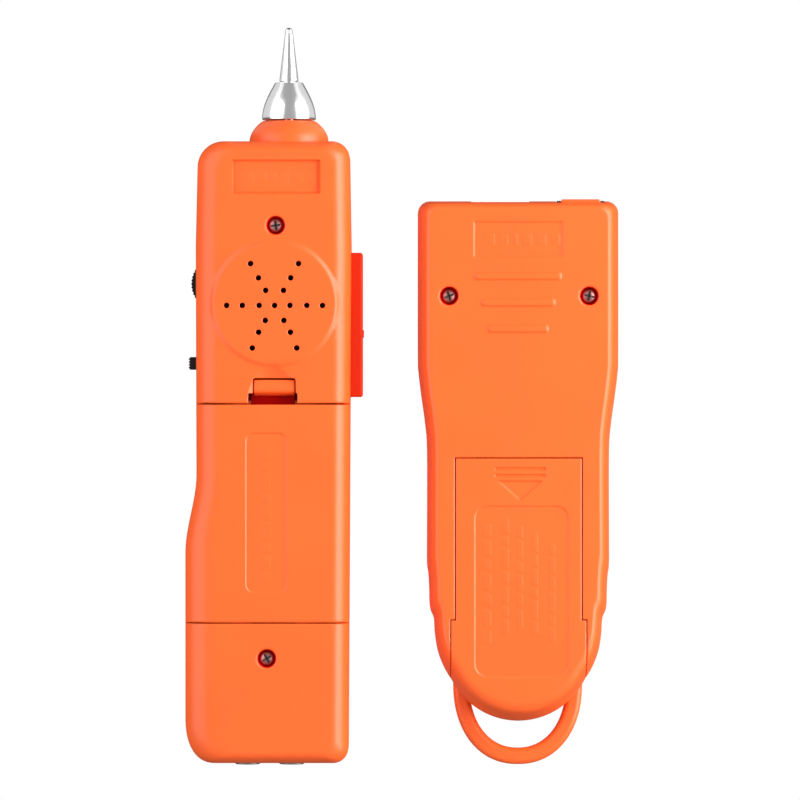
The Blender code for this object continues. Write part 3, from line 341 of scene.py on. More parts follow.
def smooth_through(points, per_span):
    """Catmull-Rom points through the given ones."""
    vectors = [Vector(p) for p in points]
    ends = [2 * vectors[0] - vectors[1], *vectors, 2 * vectors[-1] - vectors[-2]]
    made = []
    for a, b, c, d in zip(ends, ends[1:], ends[2:], ends[3:]):
        for step in range(per_span):
            t = step / per_span
            made.append(0.5 * (2 * b + (c - a) * t + (2 * a - 5 * b + 4 * c - d) * t * t
                               + (3 * b - a - 3 * c + d) * t ** 3))
    return [tuple(p) for p in made] + [tuple(vectors[-1])]


def divided(points, spacing=1.2):
    """The same closed line with no step longer than spacing."""
    made = []
    for (x0, y0), (x1, y1) in zip(points, points[1:] + points[:1]):
        count = max(1, math.ceil(math.hypot(x1 - x0, y1 - y0) / spacing))
        made += [(x0 + (x1 - x0) * i / count, y0 + (y1 - y0) * i / count) for i in range(count)]
    return made


# ---- Outlines and shoulders of the casings
def probe_outline():
    """Nearly straight on the right, a palm swell on the lower left."""
    w, grip = PROBE_HALF_WIDTH, PROBE_HALF_WIDTH + PROBE_BULGE
    points = arc(w - 4.7, 4.3, 4.3, 4.3, -90, 0, 12)
    points += [(w + 0.1, 100.0), (w + 0.4, 145.0)]
    points += arc(w - 5.0, PROBE_LENGTH - 5.0, 5.0, 5.0, 0, 90, 12)
    points += arc(-w + 7.6, PROBE_LENGTH - 7.3, 7.3, 7.3, 90, 180, 16)
    points += [(-w - 0.2, 145.0)]
    for i in range(25):
        points.append((-w - PROBE_BULGE * float(smooth(i / 24)), 81.0 - 22.0 * i / 24))
    points += arc(-grip + 8.5, 13.0, 8.5, 13.0, 180, 270, 24, power=0.85)
    return divided(points)


def generator_outline():
    """A broad head, a waist, and a rounded tail with finger grips."""
    right = arc(0.0, 20.8, 20.8, 20.8, -90, -31, 20)[1:]
    side = [(18.0, 10.4), (20.8, 15.0), (22.6, 19.7), (23.4, 24.5), (23.7, 28.8), (24.8, 32.0),
            (25.0, 37.5), (25.2, 41.0), (25.6, 44.5), (25.6, 52.0), (25.6, 76.0), (26.2, 84.0),
            (27.1, 90.5), (28.0, 98.0), (GEN_HALF_WIDTH, 104.0), (GEN_HALF_WIDTH, GEN_LENGTH - 3.4)]
    right += smooth_through(side, 5)[1:]
    right += arc(GEN_HALF_WIDTH - 3.4, GEN_LENGTH - 3.4, 3.4, 3.4, 15, 90, 10)
    return divided([(0.0, 0.0), *right, *[(-x, y) for x, y in reversed(right)]])


def probe_shoulder(t):
    """Height, the insets (left, right, tail, head) and the slope angle at a share t of the way in."""
    angle = np.radians(90) * t
    insets = [inset * (1 - np.cos(angle)) for inset in (7.4, 5.2, 3.4, 3.4)]
    return PROBE_SKIRT + (PROBE_THICK - PROBE_SKIRT) * np.sin(angle), insets, angle


def generator_shoulder(t):
    """Drafted walls up to a third of the way, then a small fillet that starts at the draft's angle."""
    draft_end, fillet, start = 1 / 3, 2.6, math.radians(9)
    up = np.clip(t / draft_end, 0, 1)
    angle = start + (np.radians(90) - start) * np.clip((t - draft_end) / (1 - draft_end), 0, 1)
    lift = (np.sin(angle) - math.sin(start)) / (1 - math.sin(start))
    share = (math.cos(start) - np.cos(angle)) / math.cos(start)
    low = GEN_THICK - fillet
    insets = [a * up + (b - a) * share for a, b in zip((1.5, 1.5, 2.4, 0.8), (3.6, 3.6, 6.0, 2.6))]
    return 15.0 + (low - 15.0) * up + fillet * lift, insets, angle


# ---- Moulded backs
def circle(centre, radius, steps=72):
    """A shape: how far points lie outside it, and its outline grown by an offset."""
    def distance(p):
        return np.hypot(p[:, 0] - centre[0], p[:, 1] - centre[1]) - radius

    def contour(offset):
        return arc(*centre, max(radius + offset, 0.05), max(radius + offset, 0.05), 0, 360, steps)[:-1]
    return distance, contour


def plate(x, y, radius=0.3, steps=8):
    """The same for a rectangle with rounded corners."""
    middle = np.array([(x[0] + x[1]) / 2, (y[0] + y[1]) / 2])
    half = np.array([(x[1] - x[0]) / 2, (y[1] - y[0]) / 2])

    def distance(p):
        q = np.abs(p - middle) - half + radius
        return np.hypot(*np.maximum(q, 0).T) + np.minimum(q.max(1), 0) - radius

    def contour(offset):
        return divided(rectangle((x[0] - offset, x[1] + offset), (y[0] - offset, y[1] + offset),
                                 radius + offset, steps), 2.5)
    return distance, contour


def triangle(half, top, tip, centre):
    """The same for a triangle that points at the tail."""
    corners = np.array([(centre - half, top), (centre, tip), (centre + half, top)])
    sides = np.roll(corners, -1, 0) - corners
    lengths = np.hypot(*sides.T)
    weights = np.roll(lengths, -1)
    inner = (corners * weights[:, None]).sum(0) / lengths.sum()
    normals = np.column_stack([-sides[:, 1], sides[:, 0]]) / lengths[:, None]
    normals *= np.sign(((corners - inner) * normals).sum(1))[:, None]
    in_radius = abs(((corners[0] - inner) * normals[0]).sum())

    def distance(p):
        return np.max([((p - c) * n).sum(1) for c, n in zip(corners, normals)], axis=0)

    def contour(offset):
        grown = inner + (corners - inner) * (in_radius + offset) / in_radius
        return divided([tuple(c) for c in grown], 1.5)
    return distance, contour


class Back:
    """A casing's back, as a height over its plan: a shoulder round the outline, and details on it."""

    RINGS = (0, 0.05, 0.12, 0.2, 0.3, 0.4, 0.5, 0.6, 0.7, 0.8, 0.9, 1.0)

    def __init__(self, outline, shoulder, wall):
        line = np.array(outline, float)
        self.low, self.high = line.min(0), line.max(0)
        self.centre = (self.low + self.high) / 2
        angles = np.arctan2(*(line - self.centre).T[::-1])
        start = int(np.argmin(angles))
        self.line, self.angles = np.roll(line, -start, 0), np.roll(angles, -start)
        self.shoulder, self.wall = shoulder, wall
        self.lines, self.rules, self.holes = [], [], []
        for t in self.RINGS:
            self.lines.append((True, self.drawn_in(self.line, t)))

    def frame_at(self, t):
        _, (left, right, tail, head), _ = self.shoulder(t)
        scale = 1 - np.array([left + right, tail + head]) / (self.high - self.low).reshape(
            (2,) + (1,) * np.ndim(left))
        return scale.T, np.array([left, tail]).T

    def drawn_in(self, points, t):
        scale, corner = self.frame_at(t)
        return self.low + corner + (points - self.low) * scale

    def reach(self, points):
        """Each point's distance from the centre as a share of the outline's, and the side it faces."""
        d = points - self.centre
        side = np.searchsorted(self.angles, np.arctan2(d[:, 1], d[:, 0])) % len(self.line)
        a, b = self.line[side - 1], self.line[side]
        edge, start = b - a, a - self.centre
        across = start[:, 0] * edge[:, 1] - start[:, 1] * edge[:, 0]
        ratio = (d[:, 0] * edge[:, 1] - d[:, 1] * edge[:, 0]) / across
        normal = np.column_stack([edge[:, 1], -edge[:, 0]])
        return ratio, normal / np.hypot(*normal.T)[:, None]

    def share(self, points):
        """How far up the shoulder each point lies: 0 at the outline, 1 on the flat."""
        low, high = np.zeros(len(points)), np.ones(len(points))
        for _ in range(24):
            middle = (low + high) / 2
            scale, corner = self.frame_at(middle)
            inside = self.reach((points - self.low - corner) / scale + self.low)[0] <= 1
            low, high = np.where(inside, middle, low), np.where(inside, high, middle)
        on_edge = self.reach(points)[0] > 1 - 3e-6
        return np.where(on_edge, 0.0, np.where(low > 0.9999, 1.0, low)), on_edge

    def add(self, shape, offsets):
        for offset in offsets:
            self.lines.append((True, shape[1](offset)))

    def step(self, shape, rise, width=0.5):
        """Raises, or sinks, the inside of a shape with a soft edge."""
        self.add(shape, [width * share for share in (-1.5, -0.5, -0.3, -0.1, 0.1, 0.3, 0.5, 1.5)])
        self.rules.append(lambda p, z: z + rise * smooth(0.5 - shape[0](p) / width))

    def dashes(self, start, lengths, height, gap, along_y=False):
        """A run of plain raised dashes, where a casing has small moulded print."""
        (x, y), rise, width = start, 0.1, 0.35
        for length in lengths:
            spans = ((x, x + height), (y - length, y)) if along_y else ((x, x + length), (y, y + height))
            shape = plate(*spans, 0.2, 2)
            self.add(shape, (-0.5 * width, 0.0, 0.5 * width))
            self.rules.append(lambda p, z, shape=shape: z + rise * smooth(0.5 - shape[0](p) / width))
            x, y = (x, y - length - gap) if along_y else (x + length + gap, y)

    def soften(self, away, depth, width, slack=math.inf):
        """Rounds the edge that runs where away is 0, on the side where it grows."""
        self.rules.append(lambda p, z: np.where(
            away(p) >= -slack, z - depth * (1 - np.clip(away(p) / width, 0, 1)) ** 2, z))

    def hole(self, shape, depth, width):
        self.add(shape, (0, 0.2 * width, 0.5 * width, width, 2.5 * width))
        self.soften(shape[0], depth, width)
        self.holes.append(shape[0])

    def mesh_plan(self):
        points, edges = [], []
        for closed, line in self.lines:
            first, count = len(points), len(line)
            points += [Vector(map(float, p)) for p in line]
            edges += [(first + i, first + i + 1) for i in range(count - 1)]
            if closed:
                edges.append((first + count - 1, first))
        made = geometry.delaunay_2d_cdt(points, edges, [], 0, 1e-4)
        self.plan, self.triangles = np.array([tuple(p) for p in made[0]]), np.array(made[2])
        middles = self.plan[self.triangles].mean(1)
        inside = self.reach(middles)[0] < 1
        for distance in self.holes:
            inside &= distance(middles) > 0
        self.triangles, self.middles = self.triangles[inside], middles[inside]

    def piece(self, unit, keep, floor):
        """The picked part of the back as a closed shell, whose outer walls run down to floor."""
        used, triangles = np.unique(self.triangles[keep(self.middles)], return_inverse=True)
        triangles = triangles.reshape(-1, 3)
        plan = self.plan[used]
        t, on_edge = self.share(plan)
        base, _, angle = self.shoulder(t)
        outer = np.column_stack([plan, base])
        scale, corner = self.frame_at(t)
        normal = self.reach((plan - self.low - corner) / scale + self.low)[1]
        inner = outer - self.wall * np.column_stack([normal * np.cos(angle)[:, None], np.sin(angle)])
        for rule in self.rules:
            outer[:, 2] = rule(plan, outer[:, 2])
        inner[:, 2] = np.minimum(inner[:, 2], outer[:, 2] - 0.3)
        count = len(plan)
        low_outer, low_inner = outer.copy(), inner.copy()
        low_outer[:, 2] = low_inner[:, 2] = floor
        points = np.vstack([outer, inner, low_outer, low_inner])
        faces = [tuple(f) for f in triangles] + [tuple(f[::-1] + count) for f in triangles]
        directed = {(int(f[i]), int(f[(i + 1) % 3])) for f in triangles for i in range(3)}
        for a, b in directed:
            if (b, a) in directed:
                continue
            if on_edge[a] and on_edge[b]:
                levels = [0, 2 * count, 3 * count, count]
                for upper, lower in zip(levels, levels[1:]):
                    faces.append((b + upper, a + upper, a + lower, b + lower))
            else:
                faces.append((b, a, a + count, b + count))
            for end, other in ((a, b), (b, a)):
                if on_edge[end] and not on_edge[other]:
                    column = [end, end + count, end + 3 * count, end + 2 * count]
                    faces.append(tuple(column if end == b else column[::-1]))
        return outward(new_mesh(unit, points, faces))


def casing_front(unit, outline, parting, insets, wall=2.0):
    """A front half shell: straight walls with a rounded edge round its flat face."""
    line = np.array(outline)
    low, high = line.min(0), line.max(0)
    inset = np.array(insets).reshape(2, 2)  # (left, tail), (right, head)
    radius = 4.0
    rings = [(parting - LIP, 0.0)]
    for angle in np.radians(range(0, 91, 15)):
        rings.append((radius * (1 - math.sin(angle)), 1 - math.cos(angle)))
    points, faces, count = [], [], len(line)
    for skin in (0, 1):
        for z, share in rings:
            edge_low = low + inset[0] * share + skin * wall
            edge_high = high - inset[1] * share - skin * wall
            scaled = edge_low + (line - low) * (edge_high - edge_low) / (high - low)
            lift = 0 if not skin else wall * (1 - z / rings[0][0])
            points += [(x, y, z + lift) for x, y in scaled]
    rows = len(rings)
    for row in list(range(rows - 1)) + list(range(rows, 2 * rows - 1)):
        for i in range(count):
            j = (i + 1) % count
            quad = (row * count + i, (row + 1) * count + i, (row + 1) * count + j, row * count + j)
            faces.append(quad if row < rows else quad[::-1])
    for i in range(count):
        j = (i + 1) % count
        faces.append((i, j, rows * count + j, rows * count + i))
    faces.append(tuple(reversed(range((rows - 1) * count, rows * count))))
    faces.append(tuple(range((2 * rows - 1) * count, 2 * rows * count)))
    return new_mesh(unit, points, faces)


def strip_between(outline, low, high, inset, side):
    """A wall strip along one side of an outline, between two y values."""
    line = [p for p in outline if low < p[1] < high and p[0] * side > 0]
    line.sort(key=lambda p: p[1])
    ends = [(line[0][0], low), *line, (line[-1][0], high)]
    return ends + [(x - side * inset, y) for x, y in reversed(ends)]


def sleeves(unit, places, top, bottom):
    """The back shell's screw sinks, each with a conical seat above its bore."""
    r, seat = SINK_RADIUS, top - 2.2
    profile = [(r, top), (r + 1.5, top), (r + 1.5, bottom), (SCREW_BORE, bottom), (SCREW_BORE, seat - 0.3),
               (r - 0.5, seat), (r - 0.38, seat + 0.9), (r - 0.1, top - 0.2)]
    return [turned(unit, profile, (*place, 0), steps=48) for place in places]


def bosses(unit, places, parting):
    """The front shell's screw posts."""
    top, foot, radius = parting - 0.4, 1.0, 3.2
    profile = [(radius, top), (radius, foot), (SCREW_BORE, foot), (SCREW_BORE, top)]
    return [turned(unit, profile, (*place, 0), steps=40) for place in places]


def panel_cuts(unit):
    """The openings through a front and its label: lamps, and the button or the switch."""
    probe = unit is PROBE
    row, lamps = (PROBE_ROW_Y, PROBE_LAMPS) if probe else (GEN_ROW_Y, GEN_LAMPS)
    cuts = [rod(unit, BUTTON, 5.8, THROUGH) if probe else block(unit, (-2.9, 2.9), (88.8, 103.2), THROUGH)]
    cuts += [rod(unit, place, 1.8, THROUGH) for place in lamps]
    return cuts + [block(unit, (-12.3, 12.3), (row - 1.8, row + 1.8), THROUGH)]


# ---- The probe's casing
def probe_back():
    """The height of the probe's back, with every moulded detail on it."""
    back = Back(probe_outline(), probe_shoulder, 2.0)
    # speaker pad, which stands level over the shoulders
    pad_radius, pad_width = 17.5, 1.7
    back.add(circle(SPEAKER, pad_radius, 144),
             [pad_width * share for share in (-0.9, -0.5, -0.3, -0.1, 0.1, 0.3, 0.5, 0.9)])
    pad = circle(SPEAKER, pad_radius)[0]
    back.rules.append(lambda p, z: z + (SPEAKER_TOP - z) * smooth(0.5 - pad(p) / pad_width))
    gx, gy = GRILLE
    holes = [GRILLE] + [(gx + side * dx, gy) for dx in GRILLE_ROW for side in (-1, 1)]
    holes += [(gx + side * dx, gy + dy) for dy, dx in GRILLE_RAYS for side in (-1, 1)]
    for place in holes:
        back.hole(circle(place, 0.8, 24), 0.14, 0.26)
    for place in PROBE_SCREWS:
        back.hole(circle(place, SINK_RADIUS, 48), 0.3, 0.45)
    back.step(plate((-11.2, 13.2), (159.6, 168.8), 0.35), -1.0, 0.4)
    back.step(plate((-7.5, 3.7), (48.0, 92.5), 2.2), -0.3, 0.5)
    back.dashes((-8.2, 162.7), (2.6, 2.4, 1.4, 2.2, 2.6, 2.2), 3.0, 1.3)
    back.dashes((-3.1, 88.0), (3.0, 2.0, 4.2, 2.4, 3.4, 5.0, 2.2, 3.6, 2.8), 2.4, 1.1, along_y=True)

    # the two seams across the back, with softened edges
    low, high = PROBE_DOOR
    for y, side in ((low - 0.35, -1), (low, 1), (high, -1), (high + 0.5, 1)):
        for offset in (0, 0.1, 0.25, 0.45, 1.0):
            level = y + side * offset
            back.lines.append((False, [(x * 1.5 - 36, level) for x in range(49)]))
        back.soften(lambda p, y=y, side=side: (p[:, 1] - y) * side, 0.25, 0.45, 1e-4)

    # the finger scoop above the door, and the slot of the catch
    for ring in (1.03, 1.0, 0.97, 0.93, 0.86, 0.76, 0.62, 0.45, 0.25):
        back.lines.append((False, arc(0.0, 100.7, 7.6 * ring, 11.2 * ring, 1, 179, 40)))

    def scoop(p, z):
        r2 = np.clip((p[:, 0] / 8.0) ** 2 + ((p[:, 1] - 100.7) / 11.6) ** 2, 0, 1)
        dish, soft = 30.7 - 3.9 * np.sqrt(1 - r2), 0.08
        over = z - dish
        mixed = 0.5 * (z + dish - np.sqrt(over ** 2 + soft * soft) + soft * smooth(over / 0.5 + 0.5))
        return np.where((p[:, 1] > high + 0.4) & (r2 < 1), np.minimum(mixed, z), z)
    back.rules.append(scoop)
    back.hole(plate((-6.9, 6.9), (97.0, 103.7), 0.25), 0.0, 0.2)
    back.hole(plate((-5.6, 6.4), (102.0, 107.9), 0.7), 0.1, 0.3)
    slots = back.holes[-2:]
    del back.holes[-2:]

    def in_slot(p):
        return (p[:, 1] > high + 0.2) & ((slots[0](p) < 0) | (slots[1](p) < 0))
    back.mesh_plan()
    return back, in_slot


def make_probe_casing():
    outline = probe_outline()
    back, in_slot = probe_back()
    low, high = PROBE_DOOR
    floor = PROBE_PARTING + LIP
    upper = back.piece(PROBE, lambda m: (m[:, 1] > high + 0.5) & ~in_slot(m), floor)
    lower = back.piece(PROBE, lambda m: m[:, 1] < low - 0.35, floor)
    door = back.piece(PROBE, lambda m: (m[:, 1] > low) & (m[:, 1] < high), PROBE_SKIRT + 0.3)

    def head_cuts():
        socket = [(a - 0.3, b + 0.3) for a, b in (SOCKET_Y, SOCKET_Z)]
        return block(PROBE, (18.0, 30), *socket), rod(PROBE, (NOSE_X, PROBE_PARTING), 8.2, (168, 180), "Y")

    def tail_cuts():
        return [rod(PROBE, (x, PROBE_PARTING), 3.9, (-5, 6), "Y") for x in (EARPHONE_X, TORCH_X)]
    carve(upper, *head_cuts())
    carve(lower, *tail_cuts())

    strips = [slab(PROBE, strip_between(outline, low - 1, high + 1, 2.0, side)[::side], (floor, PROBE_SKIRT))
              for side in (1, -1)]
    bay = bay_of(PROBE, [(-19.6, 38.0), (19.6, 38.0), (19.6, 101.6), (-19.6, 101.6)], (21.0, PROBE_SKIRT - 0.3),
                 (42.0, 98.6), 7.6, ((98.0, 104), (16.0, 20.0)))
    # The pit under the catch, its wall and the screw sinks are painted shade, in the dark red copy of the orange.
    pit = block(PROBE, (-7.6, 7.6), (101.4, 108.9), (19.6, 20.7))
    pit_wall = block(PROBE, (-7.6, 7.6), (108.0, 109.0), (19.6, 27.3))
    lit = [painted(part, ORANGE) for part in (upper, lower, *strips, bay)]
    painted_shade_parts = [painted(part, SHADED) for part in (*sleeves(PROBE, PROBE_SCREWS, 28.2, floor + 0.3), pit, pit_wall)]
    show("probe_back", merged(*lit, *painted_shade_parts), "probe_back_shell")

    lit = [door]
    for x in (-9.0, 9.0):
        lit.append(block(PROBE, (x - 2.5, x + 2.5), (low - 1.85, low + 3), (25.6, 26.7), 0.25))
        lit.append(block(PROBE, (x - 2.5, x + 2.5), (low + 1.05, low + 3), (26.0, 27.6)))
    lit += [block(PROBE, (-17.0, 16.0), (y - 0.5, y + 0.5), (25.9, 27.5), 0.15) for y in (45.0, 70.0, 93.0)]
    # The strap seen down the catch's slot is painted shade.
    strap = [(98.9, 27.6), (98.9, 21.3), (104.1, 21.3), (104.1, 22.4), (100.1, 22.4), (100.1, 27.6)]
    strap = painted(slab(PROBE, strap, (-6.2, 6.2), 0.2, axis="X"), SHADED)
    show("probe_door", merged(*(painted(part, ORANGE) for part in lit), strap), "probe_battery_door",
         "probe_door")

    finger = [(103.3, 22.9), (104.1, 22.85), (104.45, 25.0), (105.0, 26.4), (106.9, 26.95), (107.4, 27.45),
              (107.1, 27.95), (105.2, 28.3), (104.1, 28.1), (103.5, 27.0), (103.0, 25.0)]
    show("probe_catch", slab(PROBE, smooth_loop(finger), (-5.3, 6.1), 0.2, axis="X"), "probe_door_catch",
         "probe_catch", angle=50)

    front = casing_front(PROBE, outline, PROBE_PARTING, (4.0, 3.4, 4.0, 3.4))
    edge, wheel_y = (-30, -18.5), WHEEL[1]
    carve(front, *head_cuts(), *tail_cuts(),
          block(PROBE, edge, (wheel_y - 7.6, wheel_y + 7.6), (9.9, 13.2), 0.2),
          block(PROBE, edge, (SWITCH_Y - 2.4, SWITCH_Y + 4.8), (9.8, 12.6), 0.2),
          slab(PROBE, rectangle((-15.5, 15.5), (104.5, 167.5), 4), (-5, 0.9)), *panel_cuts(PROBE))
    show("probe_front", merged(front, *bosses(PROBE, PROBE_SCREWS, PROBE_PARTING)), "probe_front_shell")


def smooth_loop(points, per_span=3):
    """A closed smooth line through the points."""
    wrapped = points[-2:] + points + points[:2]
    count = len(points)
    return smooth_through(wrapped, per_span)[2 * per_span:(2 + count) * per_span]


def bay_of(unit, deck_outline, deck_z, well_y, floor, lead_cut, wall=1.3):
    """A battery bay: a deck with an open, ribbed well in it, and a slot for the leads."""
    (x0, x1), (y0, y1), top = (-14.4, 14.4), well_y, deck_z[1]
    deck = slab(unit, deck_outline, deck_z)
    carve(deck, block(unit, (x0 - wall, x1 + wall), (y0 - wall, y1 + wall), (floor - wall, top - 0.2)),
          operation="UNION")
    carve(deck, block(unit, (x0, x1), well_y, (floor, top + 12), 1.0))
    ribs = []
    for share in (0.2, 0.5, 0.8):
        y = y0 + share * (y1 - y0)
        ribs.append(block(unit, (x0 - 0.2, x1 + 0.2), (y - 0.6, y + 0.6), (floor - 0.2, floor + 0.25), 0.15))
    return carve(merged(deck, *ribs), block(unit, (-12.6, -8.4), *lead_cut))


make_probe_casing()


# ---- The generator's casing
def door_line(clearance):
    """The sliding door's edge: narrow above the step, wide below it, past the tail."""
    narrow, wide, top, step = (size + clearance for size in GEN_DOOR)
    right = [(wide, -8.0), (wide, step), (narrow, step), (narrow, top)]
    return divided(right + [(-x, y) for x, y in reversed(right)], 1.5)


def door_distance(p):
    x, y = np.abs(p[:, 0]), p[:, 1]
    narrow, wide, top, step = GEN_DOOR
    return np.minimum(np.maximum(x - narrow, y - top), np.maximum(x - wide, y - step))


def generator_back():
    """The height of the generator's back, with every moulded detail on it."""
    back = Back(generator_outline(), generator_shoulder, 2.0)
    for row, half in enumerate((12.0, 10.2, 8.3)):
        y = 124.9 - 7.35 * row
        back.step(plate((-0.2 - half, -0.2 + half), (y - 0.95, y + 0.95), 0.9), 0.5, 0.7)
    back.step(plate((-12.5, 12.2), (130.4, 140.1), 0.4), -0.4, 0.6)
    for place in GEN_SCREWS:
        back.hole(circle(place, SINK_RADIUS, 48), 0.3, 0.45)
    for y in (71.0, 69.1):
        back.step(plate((-6.6, 7.4), (y - 0.35, y + 0.35), 0.2), -0.4, 0.35)
    back.step(triangle(6.1, 67.6, 62.2, 0.4), -0.4, 0.35)
    back.step(plate((-12.3, 13.9), (12.9, 60.6), 3.5), -0.3, 0.5)
    back.dashes((-9.4, 133.7), (2.6, 2.2, 1.2, 2.4, 2.6, 2.4), 3.0, 1.5)
    back.dashes((-10.2, 55.5), (3.2, 4.0, 2.6, 4.4, 3.0, 4.2, 3.6), 2.4, 1.4, along_y=True)
    for place, lengths in (((-4.6, 57.0), (4.0, 2.2, 5.6, 3.2, 4.6, 2.6, 3.8)),
                           ((-0.6, 55.0), (3.2, 5.0, 2.6, 4.2, 3.6, 5.2)),
                           ((3.6, 53.0), (5.2, 3.0, 4.4, 2.4, 5.0, 3.2)),
                           ((8.4, 50.0), (2.8, 4.6, 3.4, 5.4, 2.6, 3.6))):
        back.dashes(place, lengths, 1.7, 1.0, along_y=True)
    for offset in (-1.2, -0.4, -0.2, -0.08, 0, 0.3, 0.38, 0.5, 0.7, 1.5):
        back.lines.append((False, door_line(offset)[:-1]))
    back.soften(lambda p: -door_distance(p), 0.2, 0.4, 0.01)
    back.soften(lambda p: door_distance(p) - DOOR_GAP, 0.2, 0.4, 0.01)
    back.mesh_plan()
    return back


def loop_outline(grow=0.0):
    """The hanging loop: an oval ring's lower half with straight feet."""
    half, drop, foot, thick = 18.2, 22.6, 16.0 + grow, 4.6
    rings = [arc(0, 10.0, half + size, drop + size, 180, 360, 64, power=0.92) for size in (grow, -thick - grow)]
    outer, inner = half + grow, half - thick - grow
    return [(-outer, foot), *rings[0], (outer, foot), (inner, foot), *reversed(rings[1]), (-inner, foot)]


def make_gen_casing():
    outline = generator_outline()
    back = generator_back()
    floor = GEN_PARTING + LIP
    shell = back.piece(GEN, lambda m: door_distance(m) > DOOR_GAP, floor)

    def window_cuts():
        return [block(GEN, (x - half, x + half), (GEN_LENGTH - 4.5, GEN_LENGTH + 5),
                      (JACK_Z[0] - 0.3, JACK_Z[1] + 0.3)) for x, half in ((-5.0, 8.25), (17.5, 6.9))]
    carve(shell, *window_cuts(), solver="FAST")
    deck = [(-21.5, 20.5), (21.5, 20.5), (22.6, 30.0), (23.0, 45.0), (23.0, 76.5), (-23.0, 76.5), (-23.0, 45.0),
            (-22.6, 30.0)]
    bay = bay_of(GEN, deck, (21.7, 22.9), (20.0, 74.6), 6.4, ((74, 78), (15.0, 19.0)))
    hood = slab(GEN, rectangle((11.9, 22.9), (143.6, GEN_LENGTH + 0.35), 0.6),
                (JACK_Z[1] + 0.6, JACK_Z[1] + 3.4), 0.3)
    parts = [painted(part, ORANGE) for part in (shell, bay, hood)]
    # The screw sinks are painted shade.
    parts += [painted(part, SHADED) for part in sleeves(GEN, GEN_SCREWS, 26.2, floor + 0.3)]
    show("generator_back", merged(*parts), "generator_back_shell")

    door = [back.piece(GEN, lambda m: door_distance(m) < 0, floor)]
    for side in (-1, 1):
        for x0, x1, z, rounding in ((15.0, 16.8, (23.7, 25.5), 0.0), (15.2, 18.6, (23.4, 24.6), 0.3)):
            door.append(block(GEN, sorted((side * x0, side * x1)), (31.0, 72.0), z, rounding))
    show("generator_door", merged(*door), "generator_battery_door", "generator_door")

    front = casing_front(GEN, outline, GEN_PARTING, (3.9, 3.7, 3.9, 3.7))
    carve(front, *window_cuts(), slab(GEN, loop_outline(0.3), (4.2, 9.8)),
          slab(GEN, rectangle((-21.0, 21.0), (82.0, 140.0), 4), (-5, 0.9)), *panel_cuts(GEN))
    show("generator_front", merged(front, *bosses(GEN, GEN_SCREWS, GEN_PARTING)),
         "generator_front_shell")
    show("generator_loop", slab(GEN, loop_outline(), (4.5, 9.5), 1.6, 5), "generator_hanging_loop",
         angle=50)


make_gen_casing()


# ---- Metal tip, screws and controls
def make_nose():
    """The collar, the ferrule and the tip, one in another."""
    base, top, low, high = PROBE_LENGTH - 0.9, COLLAR_TOP, COLLAR_TOP + 0.3, FERRULE_TOP

    def show_turned(name, profile, steps, slot, cad_node=""):
        show(name, turned(PROBE, profile, (NOSE_X, 0, PROBE_PARTING), "Y", steps), cad_node, slot=slot)
    dome = smooth_through([(11.1, base), (11.08, 175.1), (10.85, 176.1), (10.4, 177.1), (9.75, 178.1),
                           (9.05, 178.9), (8.3, 179.6), (7.7, 180.05)], 3)
    collar = [(7.2, top), *reversed(dome), (7.9, base), (7.9, 172.0), (9.6, 172.0), (9.6, 169.6), (2.1, 169.6),
              (2.1, top)]
    show_turned("probe_collar", collar, 96, "orange_plastic", "probe_nose_collar")
    ferrule = [(2.1, high), (3.7, high), (3.95, high - 0.08)]
    for i in range(17):
        radius = 4.05 + 3.5 * math.sin(math.radians(90 * i / 16))
        ferrule.append((radius, high - 0.3 - (high - low - 0.7) * i / 16))
    show_turned("probe_ferrule", [*ferrule, (7.5, low + 0.15), (7.35, low), (2.1, low)], 96,
                "nickel_plate", "probe_tip_ferrule")
    end = TIP_END
    tip = [(0, end), (0.4, end - 0.06), (0.75, end - 0.28), (1.0, end - 0.75)]
    tip += [(1.0 + 1.65 * s, end - 0.75 - (end - 1.6 - high) * s) for s in (0.1, 0.25, 0.45, 0.7, 0.9, 1.0)]
    tip += [(2.68, high + 0.45), (2.55, high + 0.3), (1.7, high + 0.3), (1.7, 167.0), (0, 167.0)]
    show_turned("probe_tip", tip, 64, "nickel_plate")


def make_screw(cad_node, unit, place, top, length, turn):
    """A pan-head screw with a cross recess, its shank threaded."""
    r, pitch, core, crest = SCREW_RADIUS, 0.7, 0.95, 1.2
    profile = [(0, 0)] + [(r * math.sin(a), -0.9 * (1 - math.cos(a))) for a in np.radians(range(12, 91, 13))]
    profile += [(r, -1.35), (r - 0.12, -1.5), (1.15, -1.5)]
    depth = -2.0
    while depth > -length + 1.6:
        profile += [(core, depth), (crest, depth - pitch / 2), (core, depth - pitch)]
        depth -= pitch
    head = turned(unit, profile + [(0.0, -length)], (*place, top), steps=48)
    # the cross, and painted shade at the bottom of it: dark blocks in the recess
    to_place = Matrix.Translation(Vector((unit[0] + place[0], unit[1] + place[1], top)) * MM)
    from_unit = Matrix.Translation(Vector((-unit[0], -unit[1], 0)) * MM)
    arms, shades = [], []
    for x, y in ((1.35, 0.3), (0.3, 1.35)):
        arms.append(block(unit, (-x, x), (-y, y), (-0.95, 0.6), 0.1))
        shades.append(block(unit, (0.1 - x, x - 0.1), (-y, y), (-1.1, -0.55)))
    for part in (*arms, *shades):
        part.data.transform(to_place @ Matrix.Rotation(math.radians(turn), 4, "Z") @ from_unit)
    # The head's steel is tinted as a painted reflection of the orange casing.
    head = painted(carve(head, *arms), SCREW_STEEL_AND_REFLECTION)
    show(cad_node, merged(head, *(painted(part, SOCKET_AND_SHADE) for part in shades)), slot="steel")


